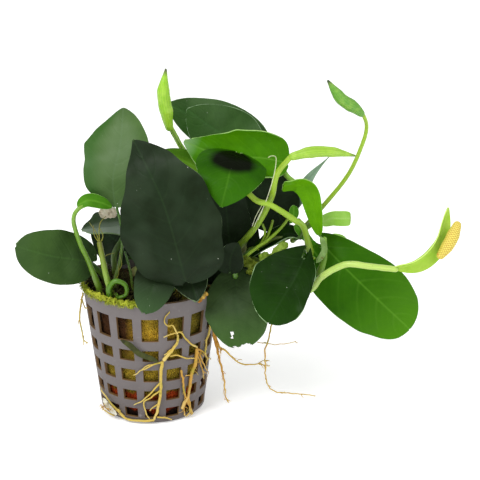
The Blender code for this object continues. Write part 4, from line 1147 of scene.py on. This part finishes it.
def rootTube(points, start, end, seed):
    # the path wanders by smooth noise that is zero at its start, and stays outside the pot's wall; the radius
    # is lumpy
    length = np.linalg.norm(np.diff(np.array(points, float), axis=0), axis=1).sum()
    places = endDense(max(6, int(length / rootBuild["ringStep"])), min(0.2, start / length))
    path = smoothPath(points, places)
    fade = np.clip(places * length / 3, 0, 1)[:, None]
    wander = np.stack([waveNoise(path, seed * 3 + axis, rootBuild["wiggleSize"]) for axis in range(3)], -1)
    path = path + rootBuild["wiggle"] * wander * fade
    radii = rootBuild["slim"] * (start + (end - start) * places) * (1 + rootBuild["lump"] * waveNoise(path,
                seed, 1.6))
    away = np.linalg.norm(path[:, :2], axis=1)
    least = wallRadius(path[:, 2]) + radii + rootBuild["clearance"]
    least = np.where(path[:, 2] < potValues["height"], least, 0)
    path[:, :2] *= np.maximum(1, least / np.maximum(away, 1e-6))[:, None]
    path[:, 2] = np.maximum(path[:, 2], radii + 0.1)
    rings = tubeRings(path, endRounding(path, radii), rootBuild["sides"])
    points, quads, triangles = closedTube(rings)
    sides = rootBuild["sides"]
    uv = np.vstack([np.stack(np.broadcast_arrays(places[:, None], np.arange(sides)[None, :] / sides),
                    -1).reshape(-1, 2), [[0, 0.5], [1, 0.5]]])
    return points, quads, triangles, uv, path


def rootMaterial(name, orange):
    # corky tan skin that runs pale to the growing tip
    material, tree, shader, place = newMaterial(name, {"Roughness": 0.6, "Specular IOR Level": 0.25})
    along = addNode(tree, "SeparateXYZ", {0: addNode(tree, "UVMap", get="UV")}, "X")
    warm = blotches(tree, place, 120, [(0.3, 0.0), (0.7, 1.0)])
    colour = addNode(tree, "Mix", {0: warm, 6: addNode(tree, "Mix", {0: orange, 6: "#bba956", 7: "#b8862f"},
                    2, data_type="RGBA"), 7: addNode(tree, "Mix", {0: orange, 6: "#bfa648", 7: "#a8641a"}, 2,
                    data_type="RGBA")}, 2, data_type="RGBA")
    moss = blotches(tree, place, 210, [(0.56, 0.0), (0.68, 0.65)])
    for amount, tint in (
            (addNode(tree, "ValToRGB", {0: along}, stops=[(0.55, 0.0), (1.0, 0.55)]), "#d4c07c"),
            (moss, "#8a8a20")):
        colour = addNode(tree, "Mix", {0: amount, 6: colour, 7: tint}, 2, data_type="RGBA")
    grit = blotches(tree, place, 1100, [(0.58, 0.0), (0.7, 0.6)])
    tree.links.new(addNode(tree, "Mix", {0: grit, 6: colour, 7: "#6e4212"}, 2, data_type="RGBA"),
            shader.inputs["Base Color"])
    roughen(tree, shader, place, 1600, 0.00015, 0.8)
    return material


def makeRoot(name, v, seed):
    # the strands, and short rootlets that leave them sideways at random places
    tubes = [rootTube(*strand, seed * 10 + number) for number, strand in enumerate(v["strands"])]
    parts = [tube[:4] + ({},) for tube in tubes]
    random = np.random.default_rng(seed)
    count = v["rootlets"]
    path = np.concatenate([tube[4][4:-4] for tube in tubes])
    tangents = np.concatenate([unit(np.gradient(tube[4], axis=0))[4:-4] for tube in tubes])
    index = random.integers(0, len(path), count)
    outward = unit(path[index] * [1, 1, 0] + 1e-6)
    sideways = np.cross(outward, tangents[index]) * random.choice([-1, 1], (count, 1))
    directions = unit(sideways * 0.9 + tangents[index] * 0.8 + outward * random.uniform(0.0, 0.5, (count, 1))
            + [0, 0, -0.45])
    lengths = random.uniform(0.3, 1.0, count) * v["reach"]
    lengths = np.minimum(lengths, np.maximum(path[index][:, 2] - 0.8, 0.3))
    parts.append(strands(path[index], directions, lengths, random.uniform(0.13, 0.24, count), 6, 9, 0.12,
                seed))
    mesh = meshFromArrays(name, *mergeMeshes(parts))
    addPiece(name, mesh, rootMaterial(name + "Skin", v["warm"]), "root", snakeName(name))


for number, (rootName, rootEntry) in enumerate(rootValues.items()):
    makeRoot(rootName, rootEntry, 70 + number)
print("roots ready")

# small loose pieces: thin stems, hair roots and torn fibres; each tube is points, radius at the start and the
# end
stemGroups = {
    "thinStems": dict(slot="stalk", look="limeStalk", tubes=[
        ([(41.8, -10, 77), (42.9, -10, 73.6), (42.2, -9, 70), (40, -9, 66)], 0.45, 0.5),
        ([(45.9, -9, 78), (44.8, -9, 74), (43, -9, 70), (38, -9, 65.5)], 0.5, 0.6),
        ([(52.4, -10, 80), (48.4, -10, 74.7), (44, -11, 70.8), (38.9, -11, 67), (33, -11, 61.5)], 0.55, 0.7),
        ([(57.5, -7, 60.5), (60.5, -7, 62.2), (63.5, -7.5, 63.5)], 0.75, 0.7)]),
    "darkStems": dict(slot="stalk", look="darkStalk", tubes=[
        ([(51.9, -8, 70.5), (47, -9, 70.8), (41.8, -10, 68.4), (36, -10, 65), (32, -10, 60)], 0.7, 0.9),
        ([(55, -9, 78.5), (57, -9, 75.5), (56.4, -9.5, 72), (53.5, -9, 70)], 0.7, 0.6),
        ([(-12, -14, 49), (-12.4, -13.4, 56), (-10.4, -12.4, 64), (-9.6, -12, 74), (-11.4, -11.8, 84)], 0.8,
         0.5),
        ([(-6, -12, 50), (-7, -11, 58), (-9, -10, 66)], 0.6, 0.4),
        ([(6, -16, 49), (9, -18, 54), (12, -20, 58)], 0.9, 0.6)]),
    "hairRoots": dict(slot="root", look="hairSkin", tubes=[
        ([(43.6, -24, 106.6), (45.2, -24.2, 107.3), (46.5, -24, 106.2), (45.8, -24, 100.1), (43.4, -23, 91.1),
          (40.2, -20, 81.7)], 0.17, 0.12),
        ([(41.6, -22, 88.1), (39.5, -20, 83.3), (38.1, -18, 78.7)], 0.14, 0.1),
        ([(42.4, -22, 88), (40.4, -20, 83), (38.8, -18, 78.4)], 0.14, 0.1)]),
    "tornFibres": dict(slot="root", look="fibreSkin", tubes=[
        ([(-18, -14, 71), (-19.2, -14, 75), (-21.6, -14, 79)], 0.2, 0.1),
        ([(-17.8, -14, 71), (-18, -13.6, 75), (-17.4, -13, 78.4), (-15.4, -12.6, 80.6)], 0.26, 0.12),
        ([(-18.2, -14.2, 71), (-19.8, -14.2, 74), (-19.9, -14, 77.6)], 0.2, 0.1),
        ([(-17.6, -13.8, 70.6), (-16.6, -13.6, 73.4), (-18, -13.6, 77)], 0.24, 0.1),
        ([(-17.2, -14, 64), (-15.4, -14.2, 66), (-12.4, -14, 66.8)], 0.16, 0.08),
        ([(-12.4, -13.4, 58), (-10, -13.6, 62), (-10.8, -13, 66.5)], 0.18, 0.08),
        ([(-14, -15, 55), (-11.4, -14.6, 58), (-11, -14, 62)], 0.18, 0.08)]),
}
stemBuild = dict(ringStep=0.4, sides=9, groove=0.0, grooveWidth=0.5, ribs=3, ribDepth=0.03, wobble=0.14)
# foot, middle, end and streak colours of the skins that only these pieces have
stalkMaterials["hairSkin"] = stalkMaterial("driedHairRoot", ("#9aa878", "#c8cfa8", "#d8dcc0", "#8a9468"))
stalkMaterials["fibreSkin"] = stalkMaterial("tornLeafFibre", ("#8a8a24", "#7a7a20", "#6a6418", "#4c4210"))


def makeStems(name, v, seed):
    # several thin tubes in one piece, each with a radius that runs evenly from start to end
    tubes = []
    for number, (points, start, end) in enumerate(v["tubes"]):
        tubes.append(fleshyTube(points, lambda place: start + (end - start) * place, stemBuild,
                    seed + number))
    addPiece(name, meshFromArrays(name, *mergeMeshes(tubes)), stalkMaterials[v["look"]], v["slot"])


for number, (groupName, groupEntry) in enumerate(stemGroups.items()):
    makeStems(groupName, groupEntry, 200 + 20 * number)

# torn sheaths and scraps of old leaf: a crumpled ribbon along a path; width in mm, then how deep the crumples
# are
scrapValues = {
    "beigeScrap": dict(look="deadBeige", path=[(-18.4, -8, 80.6), (-15, -8, 80.4), (-11.6, -8.4, 81)],
            width=4.2, crumple=0.4),
    "meshStrap": dict(look="oliveStrap", path=[(-10.3, -24.6, 36.5), (-8.4, -25, 35.6), (-6.5, -25, 34.2),
                (-4.7, -24.8, 32.2), (-2.9, -24.6, 30.7), (0.8, -24.4, 29), (3.3, -24, 27.6)], width=2.1,
            crumple=0.12),
    "paleSheath": dict(look="limeSheath", path=[(51.3, -12, 70), (48.4, -13, 68), (45.6, -13, 65.2)],
            width=3.4, crumple=0.5),
    "leftSheath": dict(look="oliveSheath", path=[(33, -12, 64.4), (37, -12.5, 62.4), (42.6, -13, 60)],
            width=3.6, crumple=0.8),
    "rightSheath": dict(look="limeSheath", path=[(40.6, -13, 65.4), (44.6, -13.5, 64.4), (48.6, -14, 63.4)],
            width=3.4, crumple=0.9),
    "footSheath": dict(look="oliveSheath", path=[(36, -12, 58.2), (40, -13, 60.4), (45.4, -14, 61.8)],
            width=3.0, crumple=0.9),
    "clearSheath": dict(look="clearSheath", path=[(62, -10.5, 61.6), (64.2, -11, 65), (64.9, -11, 68),
                (63.4, -10.5, 72)], width=2.2, crumple=0.06),
    "silverFlake": dict(look="silverFlake", path=[(-18.4, -13.4, 7.8), (-16, -16, 5.4), (-13, -18.2, 3)],
            width=1.6, crumple=0.4),
}
scrapBuild = dict(rows=48, columns=14, thickness=0.22, crumpleSize=1.8)
# two mottled colours, the colour of spots and how much light goes through
scrapLooks = {
    "deadBeige": ("#cfc3ad", "#e3dccb", "#a8987c", 0.3),
    "oliveStrap": ("#2c3010", "#3d4218", "#1c1c08", 0.0),
    "limeSheath": ("#7fa02c", "#a8c452", "#5f7a1c", 0.3),
    "oliveSheath": ("#5a6a16", "#7c8c28", "#3c440e", 0.2),
    "clearSheath": ("#86a85c", "#a4c47c", "#8a6c30", 0.5),
    "silverFlake": ("#b9b6a4", "#dcdacb", "#8a8060", 0.1),
}


def scrapMaterial(name, look):
    # papery dead leaf: uneven colour, darker spots, fine wrinkles
    first, second, spot, through = look
    material, tree, shader, place = newMaterial(name, {"Roughness": 0.55, "Specular IOR Level": 0.2})
    colour = addNode(tree, "Mix", {0: blotches(tree, place, 420, [(0.35, 0.0), (0.65, 1.0)], 4), 6: first,
                7: second}, 2, data_type="RGBA")
    spots = blotches(tree, place, 300, [(0.6, 0.0), (0.68, 0.9)], 2)
    colour = addNode(tree, "Mix", {0: spots, 6: colour, 7: spot}, 2, data_type="RGBA")
    tree.links.new(colour, shader.inputs["Base Color"])
    roughen(tree, shader, place, 1400, 0.0003, 0.8)
    if through:
        letThrough(tree, shader, colour, through)
    return material


scrapMaterials = {name: scrapMaterial(name + "Skin", look) for name, look in scrapLooks.items()}


def makeScrap(name, v, build, seed):
    # a ribbon whose edges wander and narrow to torn ends, pushed in and out by smooth noise
    along = np.linspace(0, 1, build["rows"])
    across = np.linspace(-1, 1, build["columns"])
    path = smoothPath(v["path"], along)
    tangent = unit(np.gradient(path, axis=0))
    outward = np.array([0, -1.0, 0.25])
    side = unit(np.cross(tangent, outward))
    outline = np.clip(1 - np.abs(2 * along - 1) ** 6, 0.25, 1)
    ragged = 1 + 0.4 * v["crumple"] * waveNoise(path[:, None] + side[:, None] * across[None, :, None], seed,
            1.5)
    half = v["width"] / 2 * outline[:, None] * ragged
    points = path[:, None] + side[:, None] * (half * across)[..., None]
    folds = v["crumple"] * waveNoise(points, seed + 1, build["crumpleSize"])
    points = points + unit(outward) * folds[..., None]
    quads = gridFaces(build["rows"], build["columns"], False)
    mesh = meshFromArrays(name, points.reshape(-1, 3), quads)
    piece = addPiece(name, mesh, scrapMaterials[v["look"]], "dark_leaf")
    skin = piece.modifiers.new("thickness", "SOLIDIFY")
    skin.thickness = build["thickness"] * mm
    skin.offset = 0


for number, (scrapName, scrapEntry) in enumerate(scrapValues.items()):
    makeScrap(scrapName, scrapEntry, scrapBuild, 300 + 3 * number)

# moss of old sheaths and rootlets: a lumpy roll lying on the rim at the left front, and tufts on the wool
mossValues = dict(rimFrom=186, rimTo=263, rimDrop=0.6, roll=0.75, lump=0.8, rings=170, sides=14, strands=520,
        length=2.4, tufts=2400, tuftLength=6.0, tuftFrom=150, tuftTo=300, footStrands=60, seed=31)


def mossMaterial(name, first, second, spot):
    # damp fibrous clumps, matt and uneven
    material, tree, shader, place = newMaterial(name, {"Roughness": 0.8, "Specular IOR Level": 0.15})
    colour = addNode(tree, "Mix", {0: blotches(tree, place, 330, [(0.35, 0.0), (0.65, 1.0)], 4), 6: first,
                7: second}, 2, data_type="RGBA")
    spots = blotches(tree, place, 700, [(0.54, 0.0), (0.66, 0.85)])
    tree.links.new(addNode(tree, "Mix", {0: spots, 6: colour, 7: spot}, 2, data_type="RGBA"),
            shader.inputs["Base Color"])
    roughen(tree, shader, place, 1800, 0.0004, 0.9)
    return material


def makeMoss(v):
    random = np.random.default_rng(v["seed"])
    lime = mossMaterial("yellow-green sheath moss", "#7c8a1c", "#b4b83c", "#4c4a10")
    brown = mossMaterial("wet brown root mat", "#1f180a", "#3c3812", "#0e0a05")
    # the roll: a tube along the rim whose radius and height swing with smooth noise
    places = np.linspace(0, 1, v["rings"])
    angles = radians(v["rimFrom"]) + radians(v["rimTo"] - v["rimFrom"]) * places
    around = np.stack([np.cos(angles), np.sin(angles), np.zeros(len(angles))], -1)
    path = around * (potValues["rimRadius"] - 0.3) + [0, 0, potValues["height"] + 0.1]
    path[:, 2] += v["rimDrop"] * waveNoise(path, v["seed"], 3.0)
    radii = v["roll"] * (0.8 + 0.5 * places) * (1 + v["lump"] * waveNoise(path, v["seed"] + 1, 2.0))
    rings = tubeRings(path, endRounding(path, np.maximum(radii, 0.25)), v["sides"])
    rings = rings * (1 + 0.012 * waveNoise(rings, v["seed"] + 2, 1.1))[..., None]
    roll = closedTube(rings)
    count = v["strands"]
    index = random.integers(4, v["rings"] - 4, count)
    directions = unit(around[index] * random.uniform(0.2, 1, (count, 1)) + random.normal(size=(count, 3))
            * 0.8 + [0, 0, -0.5])
    fringe = strands(path[index], directions, random.uniform(0.4, 1, count) * v["length"],
            random.uniform(0.08, 0.2, count), 4, 6, 0.2, v["seed"])
    body = roll + (np.zeros((len(roll[0]), 2)), {})
    addPiece("rimMoss", meshFromArrays("rimMoss", *mergeMeshes([body, fringe])), lime, "stone_wool")
    # the tufts: strands standing on the wool's crown, taller towards the left
    count = v["tufts"]
    angles = np.radians(random.uniform(v["tuftFrom"], v["tuftTo"], count))
    radius = np.sqrt(random.uniform(0.05, 0.8, count)) * (potValues["rimRadius"] - 1.6)
    centres = np.stack([radius * np.cos(angles), radius * np.sin(angles),
                np.full(count, woolValues["top"])], -1)
    directions = unit(random.normal(size=(count, 3)) * 0.7 + [0, 0, 0.9])
    lengths = random.uniform(0.3, 1.3, count) * v["tuftLength"]
    tuft = strands(centres, directions, lengths, random.uniform(0.15, 0.42, count), 4, 6, 0.2, v["seed"] + 5)
    reach = np.linalg.norm(tuft[0][:, :2], axis=1)
    tuft[0][:, :2] *= np.minimum(1, (potValues["rimRadius"] - 1.5) / np.maximum(reach, 1e-6))[:, None]
    addPiece("rootMat", meshFromArrays("rootMat", *tuft), brown, "stone_wool")
    # a few limp yellow strands at the foot, and an orange crumb of root on the right rim
    count = v["footStrands"]
    spread = random.uniform(-0.9, 0.9, count)
    foot = np.stack([-15.5 + 3.4 * spread, -17 + 2.6 * spread, 4.8 - 2.4 * spread], -1)
    directions = unit(random.normal(size=(count, 3)) + [-0.3, -0.3, 0])
    lengths = np.minimum(random.uniform(0.5, 2.2, count), foot[:, 2] - 0.6)
    fuzz = strands(foot, directions, lengths, np.full(count, 0.09), 4, 6, 0.25, v["seed"] + 7)
    crumbPath = smoothPath([(18.2, -18.6, 49), (20, -17.2, 50.6), (21.6, -15.2, 51.6)], np.linspace(0, 1, 30))
    crumbRadii = endRounding(crumbPath, 0.7 * (1 + 0.4 * waveNoise(crumbPath, 9, 1.3)))
    crumb = closedTube(tubeRings(crumbPath, crumbRadii, 12))
    crumb = crumb + (np.zeros((len(crumb[0]), 2)), {})
    amber = mossMaterial("amber root crumbs", "#b8862c", "#d8b860", "#8a4c14")
    addPiece("rootCrumbs", meshFromArrays("rootCrumbs", *mergeMeshes([crumb, fuzz])), amber, "root")


makeMoss(mossValues)
print("small pieces ready")
